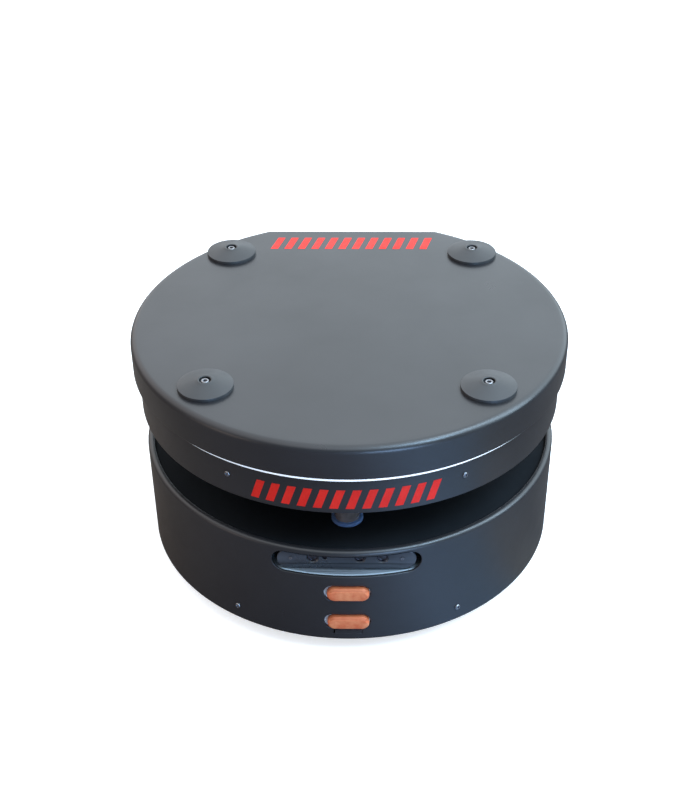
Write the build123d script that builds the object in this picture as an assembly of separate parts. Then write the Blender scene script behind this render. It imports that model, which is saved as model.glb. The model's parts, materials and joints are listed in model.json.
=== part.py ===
from build123d import *
import math
import os

# A round mobile robot base, in millimetres. +Z is up, -Y is the front (scanner, camera and
# charging contacts) and +X is to the right for someone who faces the front. Parts are drawn about
# the upright axis of the round body. They are stored about the centre of the whole footprint,
# which lies a little in front of that axis, with the floor at zero.

# Driving dimensions
LID_R = 250.0            # the lifting lid, the widest part
LID_TOP = 290.0          # its top face above the floor
LID_SKIRT = 39.0         # how far the lid's rim reaches down
HEAD_R = 244.0           # the ring under the lid
SHELL_R = 243.0          # the lower body
SHELL_BOTTOM = 22.5      # ground clearance
SHELL_TOP = 148.0
LIP_DEPTH = 6.0          # the rolled rim round the top of the lower body
LIP_WIDTH = 8.0
HEAD_BOTTOM = 202.6
HEAD_TOP = 244.3
WALL = 3.0
GAP = 0.2                # assembly gap between fixed pieces
RUN = 0.05               # radial clearance of a running fit

# Heights worked out from them
LID_BOTTOM = LID_TOP - LID_SKIRT
LID_PLATE = 5.0
LID_CEILING = LID_TOP - LID_PLATE
BASE_TOP = SHELL_BOTTOM + 6.0
DECK_TOP = SHELL_TOP - LIP_DEPTH - 2 * GAP
DECK_BOTTOM = DECK_TOP - 3.0
TRAY_BOTTOM = HEAD_BOTTOM + 0.4
TRAY_TOP = TRAY_BOTTOM + 4.0

# Where the flat back of each tier lies, and the round where it meets the side
LID_FLAT = 226.0
BODY_FLAT = 219.0
HEAD_FLAT = BODY_FLAT + 1.0
CORNER_ROUND = 6.0
PANEL_OPENING_X = 70.0
PANEL_OPENING_Z = (46.0, 124.0)

# Locating cones on the lid: the four corners of a square, a little behind the centre
CONE_PITCH = 300.0
CONE_CENTRE_Y = 9.5
CONE_R = 30.0
CONE_SEAT = 0.5          # depth of the spot face that each cone stands in
CONE_RIM = 3.8
CONE_PEAK = 9.4
CONE_MOUTH_R = 6.4       # the well that the screw's head sits in
CONE_BORE_R = 2.75
CONE_SCREW_SEAT = LID_TOP + 5.4
CONE_SCREW_REACH = 12.0  # how far the screws reach below the lid's ceiling

# Scanner, camera and charging contacts at the front
LIDAR_Y = -175.5
LIDAR_COLLAR_R = 17.5
LIDAR_WINDOW_R = 14.0
SLOT_BOTTOM = 113.5
SLOT_HEIGHT = 28.5
SLOT_WIDTH = 161.0
SHELF_THICKNESS = 2.0
BEZEL_Y = -229.0
BEZEL_LENGTH = 150.0
BEZEL_PLAY = 0.4
BEZEL_GROOVE_Z = SLOT_BOTTOM + 7.5
LENS_Z = 129.0
LENS_R = 6.0
LENS_XS = (-36.5, 14.0, 38.5)
PROJECTOR_X = -23.5
PROJECTOR_R = 2.4
BEZEL_SCREW_XS = (-60.0, 60.0)
BEZEL_SCREW_R = 1.0
CONTACT_ZS = {"upper": 89.8, "lower": 48.3}
CONTACT_LENGTH = 46.0
CONTACT_HEIGHT = 17.5
CONTACT_X = 1.7          # the contacts float, and rest to one side of their slots
CONTACT_FRONT = SHELL_R + 4.0
CONTACT_SLOT_X = 0.5
CONTACT_SLOT_LENGTH = CONTACT_LENGTH + 5.0
CONTACT_SLOT_HEIGHT = CONTACT_HEIGHT + 4.0
TAB_X = (-15.0, 17.0)    # a small window in the shell, below the contacts
TAB_Z = (30.0, 36.1)
TAB_NOSE_X = (-13.2, 16.5)   # the tab of the base plate that stands in it, over to one side
TAB_BACK = -230.0

# Scanner housing and its spinning rotor
LIDAR_BODY_HALF = 24.0
LIDAR_BODY_BOTTOM = 96.0
SPINDLE_WELL_R = 9.5
SPINDLE_WELL_BOTTOM = 112.0
LIDAR_WINDOW_TOP = 192.0
DRUM_Z = (160.0, 184.0)

# Running gear
WHEEL_R = 55.0
WHEEL_X = 178.0
WHEEL_WIDTH = 30.0
TYRE_INNER_R = 47.0
CASTOR_X = 105.0
CASTOR_Y = 135.0
CASTOR_WHEEL_R = 20.0
CASTOR_TRAIL = 14.0
CASTOR_WELL_R = 40.0     # inside of the cup that each castor swivels in
MOTOR_FLANGE_X = (150.0, 156.0)
MOTOR_SHAFT_R = 6.0

# Lift drive
SCREW_Y = 9.5
SCREW_R = 8.0
SCREW_PULLEY_R = 20.0
MOTOR_PULLEY_R = 10.0
LIFT_MOTOR_Y = 123.0
ROD_X = 110.0
ROD_Y = 100.0
ROD_R = 6.0
NUT_R = 15.0
BELT_Z = (213.0, 221.0)
LIFT_MOTOR_BOTTOM = 148.0
LIFT_MOTOR_SHAFT_R = 3.0
SHAFT_WELL_BOTTOM = 188.0
FRAME_Z = (256.0, 262.0)     # the plate that carries the lid on the nut and the rods
BUSH_R = 9.8
BUSH_TOP = 246.0
BEARING_R = 12.9
BEARING_TOP = 210.6
CABLE_X = -80.0
CABLE_HOLE_R = 9.0

# Body screws, as angles round from the front
SCREW_ANGLES = [side * (30.5 + 57.5 * step) for side in (-1, 1) for step in range(3)]
SHELL_SCREW_HOLE_R = 2.1
SHELL_SCREW_Z = 40.0
HEAD_SCREW_Z = 228.0
PANEL_SCREW_R = 1.5
PANEL_SCREW_HOLE_R = 1.7


def cylinder(radius, bottom, top, x=0.0, y=0.0):
    """An upright cylinder between two heights."""
    return Pos(x, y, (bottom + top) / 2) * Cylinder(radius, top - bottom)


def block(x, y, z):
    """A box between the pairs of limits on each axis."""
    size = Box(x[1] - x[0], y[1] - y[0], z[1] - z[0])
    return Pos((x[0] + x[1]) / 2, (y[0] + y[1]) / 2, (z[0] + z[1]) / 2) * size


def rounded_block(x, y, z, radius):
    """A box with its four upright edges rounded."""
    solid = block(x, y, z)
    return fillet(solid.edges().filter_by(Axis.Z), radius)


def flat_disc(radius, flat_y, bottom, top):
    """A disc with its back cut off flat, the outline that every tier shares."""
    reach = radius + 1
    return cylinder(radius, bottom, top) - block((-reach, reach), (flat_y, reach), (bottom, top))


def flat_ring(radius, wall, flat_y, bottom, top):
    """A hoop of that outline, with the same wall on the round part and on the flat."""
    return flat_disc(radius, flat_y, bottom, top) - flat_disc(radius - wall, flat_y - wall, bottom, top)


def pill(length, height, x, z, y_front, y_back):
    """A stadium-shaped bar whose long face looks forward."""
    outline = Plane.XZ * SlotOverall(length, height)
    return Pos(x, y_back, z) * extrude(outline, y_back - y_front)


def around(angle, radius, z):
    """A place on a circle, where angle 0 is the front, with its local +X pointing outward."""
    return Rot(0, 0, angle - 90) * Pos(radius, 0, z)


def radial_rod(radius, inner, outer, angle, z):
    """A round bar that lies along a radius of the body."""
    return around(angle, (inner + outer) / 2, z) * Rot(0, 90, 0) * Cylinder(radius, outer - inner)


def x_rod(radius, x0, x1, y, z):
    """A round bar along X."""
    return Pos((x0 + x1) / 2, y, z) * Rot(0, 90, 0) * Cylinder(radius, abs(x1 - x0))


def y_rod(radius, y0, y1, x, z):
    """A round bar along Y."""
    return Pos(x, (y0 + y1) / 2, z) * Rot(90, 0, 0) * Cylinder(radius, abs(y1 - y0))


def group(solids):
    """Separate solids kept in one node."""
    return Compound(list(solids))


def corners(x, y, centre_y=0.0):
    return [(side * x, centre_y + end * y) for side in (-1, 1) for end in (-1, 1)]


# Places that several parts share
CONE_PLACES = corners(CONE_PITCH / 2, CONE_PITCH / 2, CONE_CENTRE_Y)
ROD_PLACES = corners(ROD_X, ROD_Y, SCREW_Y)
CASTOR_PLACES = corners(CASTOR_X, CASTOR_Y)
HEAD_POST_PLACES = [(-120.0, -25.0), (120.0, -25.0)]
DECK_POST_PLACES = corners(205.0, 85.0) + corners(80.0, 62.0)
PANEL_SCREW_PLACES = corners(74.0, 43.0, 85.0)


# ---------------------------------------------------------------- lower body

def base_plate():
    inner = SHELL_R - WALL - GAP
    plate = flat_disc(inner, BODY_FLAT - WALL - GAP, SHELL_BOTTOM, BASE_TOP)
    wheel_room = 5.0
    well_half_x = WHEEL_WIDTH / 2 + wheel_room
    well_half_y = WHEEL_R + wheel_room
    for side in (-1, 1):
        well_x = (side * WHEEL_X - well_half_x, side * WHEEL_X + well_half_x)
        plate -= block(well_x, (-well_half_y, well_half_y), (SHELL_BOTTOM, BASE_TOP))
    for x, y in CASTOR_PLACES:
        plate -= cylinder(CASTOR_WELL_R - 1, SHELL_BOTTOM, BASE_TOP, x, y)

    # the tab stands up behind the shell and steps forward through its window
    nose_z = (TAB_Z[0] + GAP, TAB_Z[1] - 2 * GAP)
    nose = block(TAB_NOSE_X, (-SHELL_R, TAB_BACK), nose_z) & cylinder(SHELL_R, *nose_z)
    stem = block(TAB_NOSE_X, (-SHELL_R, TAB_BACK), (BASE_TOP, nose_z[0]))
    stem &= cylinder(inner, BASE_TOP, nose_z[0])
    return plate + stem + nose


def lower_shell():
    outer_round = 5.0
    inner_round = 2.0
    inner_flat = BODY_FLAT - WALL
    shell = flat_disc(SHELL_R, BODY_FLAT, SHELL_BOTTOM, SHELL_TOP)
    shell = fillet(shell.edges().filter_by(Axis.Z), CORNER_ROUND)
    shell = fillet(shell.faces().sort_by(Axis.Z)[-1].edges(), outer_round)
    shell -= flat_disc(SHELL_R - WALL, inner_flat, SHELL_BOTTOM, SHELL_TOP - LIP_DEPTH)
    shell -= flat_disc(SHELL_R - LIP_WIDTH, BODY_FLAT - LIP_WIDTH, SHELL_TOP - LIP_DEPTH, SHELL_TOP)
    inner_rim = shell.faces().sort_by(Axis.Z)[-1].inner_wires()[0].edges()
    shell = fillet(inner_rim, inner_round)

    # openings in front, all cut straight back through the wall
    cut = (-SHELL_R - 1, -SHELL_R + 40)
    shell -= pill(SLOT_WIDTH, SLOT_HEIGHT, 0, SLOT_BOTTOM + SLOT_HEIGHT / 2, *cut)
    for z in CONTACT_ZS.values():
        shell -= pill(CONTACT_SLOT_LENGTH, CONTACT_SLOT_HEIGHT, CONTACT_SLOT_X, z, *cut)
    shell -= block(TAB_X, cut, TAB_Z)

    # the opening that the rear panel covers, and the screw holes
    through_flat = (inner_flat - 1, BODY_FLAT + 1)
    shell -= block((-PANEL_OPENING_X, PANEL_OPENING_X), through_flat, PANEL_OPENING_Z)
    for x, z in PANEL_SCREW_PLACES:
        shell -= y_rod(PANEL_SCREW_HOLE_R, *through_flat, x, z)
    through_wall = (SHELL_R - 2 * WALL, SHELL_R + WALL)
    for angle in SCREW_ANGLES:
        shell -= radial_rod(SHELL_SCREW_HOLE_R, *through_wall, angle, SHELL_SCREW_Z)
    return shell


def button_screw(radius, angle, z, reach):
    """A small round-headed screw with a hexagon socket, set into a wall."""
    head_r = 3.4
    head_height = 1.7
    shank_r = 1.95
    socket_r = 1.5
    head = radial_rod(head_r, radius + 0.02, radius + head_height, angle, z)
    head = fillet(head.edges().group_by(SortBy.DISTANCE)[-1], 0.7 * head_height)
    shank = radial_rod(shank_r, radius - reach, radius + head_height / 3, angle, z)
    socket = Rot(0, 90, 0) * extrude(RegularPolygon(socket_r, 6), head_height)
    return head + shank - around(angle, radius + 0.7 * head_height, z) * socket


def shell_screws():
    reach = 1.5 * WALL
    lower = [button_screw(SHELL_R, angle, SHELL_SCREW_Z, reach) for angle in SCREW_ANGLES]
    upper = [button_screw(HEAD_R, angle, HEAD_SCREW_Z, reach) for angle in SCREW_ANGLES]
    return group(lower + upper)


def deck_plate():
    radius = SHELL_R - WALL - GAP
    plate = flat_disc(radius, BODY_FLAT - WALL - GAP, DECK_BOTTOM, DECK_TOP)
    plate -= cylinder(LIDAR_COLLAR_R + 0.3, DECK_BOTTOM, DECK_TOP, 0, LIDAR_Y)
    return plate - cylinder(CABLE_HOLE_R, DECK_BOTTOM, DECK_TOP, CABLE_X, LIFT_MOTOR_Y)


def deck_posts():
    radius = 7.0
    return group(cylinder(radius, BASE_TOP, DECK_BOTTOM, x, y) for x, y in DECK_POST_PLACES)


# ---------------------------------------------------------------- scanner

COLLAR_TOP = DECK_TOP + 3.6


def lidar_body():
    half = LIDAR_BODY_HALF
    depth = (LIDAR_Y - half, LIDAR_Y + half)
    housing = rounded_block((-half, half), depth, (LIDAR_BODY_BOTTOM, DECK_BOTTOM), 6)
    return housing - cylinder(SPINDLE_WELL_R, SPINDLE_WELL_BOTTOM, DECK_BOTTOM, 0, LIDAR_Y)


def lidar_collar():
    ring = cylinder(LIDAR_COLLAR_R, DECK_BOTTOM, COLLAR_TOP, 0, LIDAR_Y)
    ring = fillet(ring.faces().sort_by(Axis.Z)[-1].edges(), 1)
    return ring - cylinder(SPINDLE_WELL_R, DECK_BOTTOM, COLLAR_TOP, 0, LIDAR_Y)


def lidar_window():
    wall = 1.5
    roof = 4.0
    dome = cylinder(LIDAR_WINDOW_R, COLLAR_TOP, LIDAR_WINDOW_TOP, 0, LIDAR_Y)
    dome = fillet(dome.faces().sort_by(Axis.Z)[-1].edges(), 2 * wall)
    return dome - cylinder(LIDAR_WINDOW_R - wall, COLLAR_TOP, LIDAR_WINDOW_TOP - roof, 0, LIDAR_Y)


def lidar_rotor():
    """A drum on a spindle, with a slanted flat for the mirror."""
    spindle = cylinder(5, SPINDLE_WELL_BOTTOM + 2, DRUM_Z[0], 0, LIDAR_Y)
    drum = cylinder(LIDAR_WINDOW_R - 3, *DRUM_Z, 0, LIDAR_Y)
    mirror_cut = Pos(0, LIDAR_Y - 9, DRUM_Z[1] - 6) * Rot(45, 0, 0) * Box(30, 20, 12)
    return spindle + drum - mirror_cut


# ---------------------------------------------------------------- camera behind its slot

BEZEL_BACK = BEZEL_Y + WALL


def camera_bezel():
    """A plate behind the slot, short of its ends and hidden by the deck at the top."""
    middle = SLOT_BOTTOM + SLOT_HEIGHT / 2
    plate = pill(BEZEL_LENGTH, SLOT_HEIGHT - 2 * BEZEL_PLAY, 0, middle, BEZEL_Y, BEZEL_BACK)
    reach = BEZEL_LENGTH / 2
    plate &= block((-reach, reach), (BEZEL_Y, BEZEL_BACK), (SLOT_BOTTOM, DECK_BOTTOM - GAP))
    groove = 0.5
    groove_z = (BEZEL_GROOVE_Z - groove, BEZEL_GROOVE_Z + groove)
    plate -= block((-reach, reach), (BEZEL_Y, BEZEL_Y + groove), groove_z)
    countersink = 1.2
    for x in LENS_XS:
        plate -= y_rod(LENS_R, BEZEL_Y, BEZEL_BACK, x, LENS_Z)
        mouth = Cone(LENS_R, LENS_R + countersink, countersink)
        plate -= Pos(x, BEZEL_Y + countersink / 2, LENS_Z) * Rot(90, 0, 0) * mouth
    plate -= y_rod(PROJECTOR_R + 0.1, BEZEL_Y, BEZEL_BACK, PROJECTOR_X, LENS_Z)
    for x in BEZEL_SCREW_XS:
        plate -= y_rod(BEZEL_SCREW_R + 0.1, BEZEL_Y, BEZEL_BACK, x, LENS_Z)
    return plate


def camera_body():
    depth = 22.0
    half = 45.0
    height = (SLOT_BOTTOM + 0.1, DECK_BOTTOM - 0.1)
    body = block((-half, half), (BEZEL_BACK, BEZEL_BACK + depth), height)
    return fillet(body.edges().filter_by(Axis.Y), 10)


def camera_lenses():
    front = BEZEL_Y + 1.2
    hood = 0.8
    rim = 1.6
    lenses = []
    for x in LENS_XS:
        barrel = y_rod(LENS_R - GAP, front, BEZEL_BACK, x, LENS_Z)
        lenses.append(barrel - y_rod(LENS_R - GAP - rim, front, front + hood, x, LENS_Z))
    lenses.append(y_rod(PROJECTOR_R, front, BEZEL_BACK, PROJECTOR_X, LENS_Z))
    return group(lenses)


def camera_shelf():
    z = (SLOT_BOTTOM - SHELF_THICKNESS, SLOT_BOTTOM)
    reach = SLOT_WIDTH / 2 + 8
    shelf = cylinder(SHELL_R - WALL - GAP, *z)
    return shelf & block((-reach, reach), (-SHELL_R, LIDAR_Y - LIDAR_BODY_HALF - 1), z)


# ---------------------------------------------------------------- charging contacts

CONTACT_STEP = -225.0    # where the guide hole opens into the spring pocket
CARRIER_BACK = -208.0
CARRIER_FLOOR = 3.0
FLANGE_LENGTH = CONTACT_LENGTH + 6.0
FLANGE_HEIGHT = CONTACT_HEIGHT + 5.0
SPRING_XS = (CONTACT_X - 13.0, CONTACT_X + 13.0)
SPRING_R = 3.2


def contact(z):
    """A sprung shoe with a bevelled face, and a flange that keeps it in its guide."""
    flange = (CONTACT_STEP + 0.1, CONTACT_STEP + 3.0)
    bevel = 2.2
    shoe = pill(CONTACT_LENGTH, CONTACT_HEIGHT, CONTACT_X, z, -CONTACT_FRONT, flange[1] - 0.9)
    shoe = chamfer(shoe.faces().sort_by(Axis.Y)[0].edges(), bevel)
    shoe += pill(FLANGE_LENGTH, FLANGE_HEIGHT, CONTACT_X, z, *flange)
    spring_well = 7.0
    for x in SPRING_XS:
        shoe -= y_rod(SPRING_R + 0.4, CONTACT_STEP - spring_well, flange[1], x, z)
    return shoe


def contact_springs():
    """Sleeves that stand in for the coils, at their fully pressed length."""
    front = CONTACT_STEP - 2.8
    back = CARRIER_BACK - CARRIER_FLOOR
    wire = 1.0
    coils = []
    for z in CONTACT_ZS.values():
        for x in SPRING_XS:
            coils.append(y_rod(SPRING_R, front, back, x, z)
                         - y_rod(SPRING_R - wire, front, back, x, z))
    return group(coils)


def contact_carrier():
    top = SLOT_BOTTOM - SHELF_THICKNESS
    half = 33.0
    carrier = block((1 - half, 1 + half), (-SHELL_R, CARRIER_BACK), (BASE_TOP, top))
    carrier &= cylinder(SHELL_R - WALL - GAP, BASE_TOP, top)
    slide = (CONTACT_LENGTH + 0.3, CONTACT_HEIGHT + 0.3)
    pocket = (FLANGE_LENGTH + 1, FLANGE_HEIGHT + 1)
    for z in CONTACT_ZS.values():
        carrier -= pill(*slide, CONTACT_X, z, -SHELL_R, CONTACT_STEP)
        carrier -= pill(*pocket, CONTACT_X, z, CONTACT_STEP, CARRIER_BACK - CARRIER_FLOOR)
    return carrier - block(TAB_X, (-SHELL_R, TAB_BACK + GAP), (BASE_TOP, TAB_Z[1]))


# ---------------------------------------------------------------- head

def head_posts():
    height = (DECK_TOP, TRAY_BOTTOM)
    tube = cylinder(10, *height) - cylinder(7, *height)
    return group(Pos(x, y, 0) * tube for x, y in HEAD_POST_PLACES)


def rear_column():
    """A hollow pillar between the deck and the head, round the lift motor and the cables."""
    half = 118.0
    front = 96.0
    back = 150.0
    corner = 10.0
    height = (DECK_TOP, TRAY_BOTTOM)
    outer = rounded_block((-half, half), (front, back), height, corner)
    inner_x = (WALL - half, half - WALL)
    return outer - rounded_block(inner_x, (front + WALL, back - WALL), height, corner - WALL)


def head_tray():
    radius = HEAD_R - WALL - GAP
    tray = flat_disc(radius, BODY_FLAT - WALL - GAP, TRAY_BOTTOM, TRAY_TOP)
    height = (TRAY_BOTTOM, TRAY_TOP)
    for x, y in ROD_PLACES:
        tray -= cylinder(BUSH_R + GAP, *height, x, y)
    tray -= cylinder(BEARING_R + 0.1, *height, 0, SCREW_Y)
    tray -= cylinder(MOTOR_PULLEY_R + 2, *height, 0, LIFT_MOTOR_Y)
    return tray - cylinder(CABLE_HOLE_R, *height, CABLE_X, LIFT_MOTOR_Y)


def head_ring():
    ring = flat_disc(HEAD_R, HEAD_FLAT, HEAD_BOTTOM, HEAD_TOP)
    ring = fillet(ring.edges().filter_by(Axis.Z), CORNER_ROUND)
    ring = fillet(ring.faces().sort_by(Axis.Z)[0].edges(), WALL / 2)
    ring -= flat_disc(HEAD_R - WALL, HEAD_FLAT - WALL, HEAD_BOTTOM, HEAD_TOP)
    through_wall = (HEAD_R - 2 * WALL, HEAD_R + WALL)
    for angle in SCREW_ANGLES:
        ring -= radial_rod(SHELL_SCREW_HOLE_R, *through_wall, angle, HEAD_SCREW_Z)
    return ring


def light_ring():
    """A translucent hoop on top of the head ring, located by a thinner one inside it."""
    seat = HEAD_TOP + 0.1
    top = LID_BOTTOM - 1.4
    flat = HEAD_FLAT - GAP
    spigot_wall = 2.2
    ring = flat_ring(HEAD_R - GAP, WALL + spigot_wall, flat, seat, top)
    spigot_depth = 5.0
    return ring + flat_ring(HEAD_R - WALL - GAP, spigot_wall, flat - WALL, HEAD_TOP - spigot_depth, seat)


# ---------------------------------------------------------------- lift

def lid():
    wall = 4.0
    corner = 8.0
    top_round = 7.5
    bottom_round = 1.5
    pan = flat_disc(LID_R, LID_FLAT, LID_BOTTOM, LID_TOP)
    pan = fillet(pan.edges().filter_by(Axis.Z), corner)
    pan = fillet(pan.faces().sort_by(Axis.Z)[-1].edges(), top_round)
    pan = fillet(pan.faces().sort_by(Axis.Z)[0].edges(), bottom_round)
    hollow = flat_disc(LID_R - wall, LID_FLAT - wall, LID_BOTTOM, LID_CEILING)
    pan -= fillet(hollow.faces().sort_by(Axis.Z)[-1].edges(), wall)
    for x, y in CONE_PLACES:
        pan -= cylinder(CONE_BORE_R, LID_CEILING, LID_TOP, x, y)
        pan -= cylinder(CONE_R + 0.1, LID_TOP - CONE_SEAT, LID_TOP, x, y)
    return pan


def cone_profile():
    """Half section of a locating cone, from its bore outward, with the lid's top at zero."""
    well_floor = CONE_SCREW_SEAT - LID_TOP
    shoulder = CONE_MOUTH_R + 1.4
    with BuildSketch(Plane.XZ) as section:
        with BuildLine():
            Polyline((CONE_BORE_R, -CONE_SEAT), (CONE_R, -CONE_SEAT), (CONE_R, CONE_RIM),
                     (shoulder, CONE_PEAK), (CONE_MOUTH_R, CONE_PEAK), (CONE_MOUTH_R, well_floor),
                     (CONE_BORE_R, well_floor), close=True)
        make_face()
    return section.sketch


def locating_cones():
    cone = revolve(cone_profile(), Axis.Z)
    return group(Pos(x, y, LID_TOP) * cone for x, y in CONE_PLACES)


def cone_screws():
    """Socket head cap screws that hold the cones down through the lid."""
    head_r = 4.4
    head_height = 3.0
    shank_r = 2.5
    socket_r = 2.3
    seat = CONE_SCREW_SEAT
    head = cylinder(head_r, seat, seat + head_height)
    head = fillet(head.faces().sort_by(Axis.Z)[-1].edges(), head_height / 5)
    head -= Pos(0, 0, seat + head_height / 5) * extrude(RegularPolygon(socket_r, 6), head_height)
    screw = head + cylinder(shank_r, LID_CEILING - CONE_SCREW_REACH, seat)
    return group(Pos(x, y, 0) * screw for x, y in CONE_PLACES)


def lift_frame():
    """A windowed plate with a post under each cone, carried by the nut and the guide rods."""
    x_reach = CONE_PITCH / 2 + 12
    y_limits = (CONE_CENTRE_Y - x_reach, CONE_CENTRE_Y + x_reach)
    frame = rounded_block((-x_reach, x_reach), y_limits, FRAME_Z, 12)
    window = rounded_block((22, 98), (28, 88), FRAME_Z, 8)
    for across in (window, mirror(window, Plane.YZ)):
        for piece in (across, mirror(across, Plane.XZ)):
            frame -= Pos(0, SCREW_Y, 0) * piece
    post_r = 11.0
    for x, y in CONE_PLACES:
        frame += cylinder(post_r, FRAME_Z[1], LID_CEILING, x, y)
        frame -= cylinder(CONE_BORE_R, LID_CEILING - CONE_SCREW_REACH - 1, LID_CEILING, x, y)
    return frame - cylinder(NUT_R + 0.3, *FRAME_Z, 0, SCREW_Y)


def lift_nut():
    """A flanged nut that stands up through the frame and carries it on its flange."""
    bottom = 236.0
    flange_r = 24.0
    flange_height = 5.0
    nut = cylinder(NUT_R, bottom, FRAME_Z[1], 0, SCREW_Y)
    nut += cylinder(flange_r, FRAME_Z[0] - flange_height, FRAME_Z[0], 0, SCREW_Y)
    return nut - cylinder(SCREW_R + RUN, bottom, FRAME_Z[1], 0, SCREW_Y)


def guide_rods():
    return group(cylinder(ROD_R, TRAY_BOTTOM + 2, FRAME_Z[0], x, y) for x, y in ROD_PLACES)


def guide_bushes():
    shoulder_r = 13.0
    bush = cylinder(BUSH_R, TRAY_BOTTOM, TRAY_TOP) + cylinder(shoulder_r, TRAY_TOP, BUSH_TOP)
    bush -= cylinder(ROD_R + RUN, TRAY_BOTTOM, BUSH_TOP)
    return group(Pos(x, y, 0) * bush for x, y in ROD_PLACES)


def lift_skirt():
    """A thin hoop under the lid that closes the head while the lid is up."""
    radius = 236.0
    return flat_ring(radius, 1.5, BODY_FLAT - SHELL_R + radius, TRAY_TOP + 3, LID_CEILING)


def lead_screw():
    screw = cylinder(SCREW_R, TRAY_BOTTOM, 282, 0, SCREW_Y)
    return chamfer(screw.edges().filter_by(GeomType.CIRCLE), 1)


def screw_bearing():
    flange_r = 20.0
    bearing = cylinder(BEARING_R, TRAY_BOTTOM, TRAY_TOP, 0, SCREW_Y)
    bearing += cylinder(flange_r, TRAY_TOP, BEARING_TOP, 0, SCREW_Y)
    return bearing - cylinder(SCREW_R + RUN, TRAY_BOTTOM, BEARING_TOP, 0, SCREW_Y)


def pulley(radius, y):
    """A belt pulley with a flange above and below the belt."""
    flange = radius + 2.5
    low = (BELT_Z[0] - 2, BELT_Z[0] - 0.4)
    high = (BELT_Z[1] + 0.4, BELT_Z[1] + 2)
    wheel = cylinder(radius, low[0], high[1], 0, y)
    return wheel + cylinder(flange, *low, 0, y) + cylinder(flange, *high, 0, y)


def screw_pulley():
    return pulley(SCREW_PULLEY_R, SCREW_Y) - cylinder(SCREW_R, TRAY_TOP, BUSH_TOP, 0, SCREW_Y)


def motor_pulley():
    """The small pulley and the motor shaft it is fixed to."""
    shaft = cylinder(LIFT_MOTOR_SHAFT_R, SHAFT_WELL_BOTTOM + 2, BELT_Z[1] + 4, 0, LIFT_MOTOR_Y)
    return pulley(MOTOR_PULLEY_R, LIFT_MOTOR_Y) + shaft


def belt_outline(offset):
    """The loop around both pulleys, that far outside their working surfaces."""
    small = MOTOR_PULLEY_R + offset
    large = SCREW_PULLEY_R + offset
    span = LIFT_MOTOR_Y - SCREW_Y
    lean = math.asin((large - small) / span)
    side = math.cos(lean)
    rise = math.sin(lean)
    large_right = (large * side, SCREW_Y + large * rise)
    small_right = (small * side, LIFT_MOTOR_Y + small * rise)
    large_left = (-large_right[0], large_right[1])
    small_left = (-small_right[0], small_right[1])
    with BuildSketch() as outline:
        with BuildLine():
            Line(large_right, small_right)
            ThreePointArc(small_right, (0, LIFT_MOTOR_Y + small), small_left)
            Line(small_left, large_left)
            ThreePointArc(large_left, (0, SCREW_Y - large), large_right)
        make_face()
    return outline.sketch


def lift_belt():
    inner = 0.05
    thickness = 1.5
    loop = belt_outline(inner + thickness) - belt_outline(inner)
    return Pos(0, 0, BELT_Z[0]) * extrude(loop, BELT_Z[1] - BELT_Z[0])


def lift_motor():
    radius = 18.0
    body = cylinder(radius, LIFT_MOTOR_BOTTOM, TRAY_BOTTOM, 0, LIFT_MOTOR_Y)
    body = fillet(body.faces().sort_by(Axis.Z)[0].edges(), 2)
    return body - cylinder(LIFT_MOTOR_SHAFT_R + RUN, SHAFT_WELL_BOTTOM, TRAY_BOTTOM, 0, LIFT_MOTOR_Y)


# ---------------------------------------------------------------- drive

def drive_motor(side):
    """A flange that stands on the base plate, with a gearbox and a motor behind it."""
    flange_half = 30.0
    gearbox_r = 21.0
    motor_r = 19.5
    joint_x = side * 112
    face_x = side * MOTOR_FLANGE_X[0]
    flange_x = sorted(side * x for x in MOTOR_FLANGE_X)
    flange_z = (BASE_TOP, WHEEL_R + flange_half)
    motor = rounded_block(flange_x, (-flange_half, flange_half), flange_z, 2)
    motor += x_rod(gearbox_r, joint_x, face_x, 0, WHEEL_R)
    motor += x_rod(motor_r, side * 62, joint_x, 0, WHEEL_R)
    return motor - x_rod(MOTOR_SHAFT_R + RUN, side * 136, side * MOTOR_FLANGE_X[1], 0, WHEEL_R)


def drive_motors():
    return group(drive_motor(side) for side in (-1, 1))


def wheel_hub(side):
    """A dished wheel with six round windows, and the motor shaft it is fixed to."""
    half = WHEEL_WIDTH / 2 - 2
    inner = side * (WHEEL_X - half)
    outer = side * (WHEEL_X + half)
    web = (side * (WHEEL_X - 3), side * (WHEEL_X + 5))
    rim_inside = TYRE_INNER_R - 5
    hub = x_rod(TYRE_INNER_R, inner, outer, 0, WHEEL_R)
    hub -= x_rod(rim_inside, web[1], outer, 0, WHEEL_R) - x_rod(14, web[1], outer, 0, WHEEL_R)
    hub -= x_rod(rim_inside, inner, web[0], 0, WHEEL_R)
    hub += x_rod(2 * MOTOR_SHAFT_R, inner, side * WHEEL_X, 0, WHEEL_R)
    hub += x_rod(MOTOR_SHAFT_R, side * 138, inner, 0, WHEEL_R)
    window_ring = 28.0
    window_r = 8.0
    windows = 6
    for turn in range(windows):
        angle = 2 * math.pi * turn / windows
        y = window_ring * math.cos(angle)
        z = WHEEL_R + window_ring * math.sin(angle)
        hub -= x_rod(window_r, inner, outer, y, z)
    return hub


def tyre(side):
    """A rubber ring with two grooves round its tread."""
    limits = (WHEEL_X - WHEEL_WIDTH / 2, WHEEL_X + WHEEL_WIDTH / 2)
    groove_half = 0.8
    groove_floor = WHEEL_R - 1.5
    ring = x_rod(WHEEL_R, *limits, 0, WHEEL_R)
    ring = fillet(ring.edges().filter_by(GeomType.CIRCLE), 3)
    for x in (WHEEL_X - 5, WHEEL_X + 5):
        groove_x = (x - groove_half, x + groove_half)
        groove = x_rod(WHEEL_R + 1, *groove_x, 0, WHEEL_R)
        ring -= groove - x_rod(groove_floor, *groove_x, 0, WHEEL_R)
    ring -= x_rod(TYRE_INNER_R, *limits, 0, WHEEL_R)
    return ring if side > 0 else mirror(ring, Plane.YZ)


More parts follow.
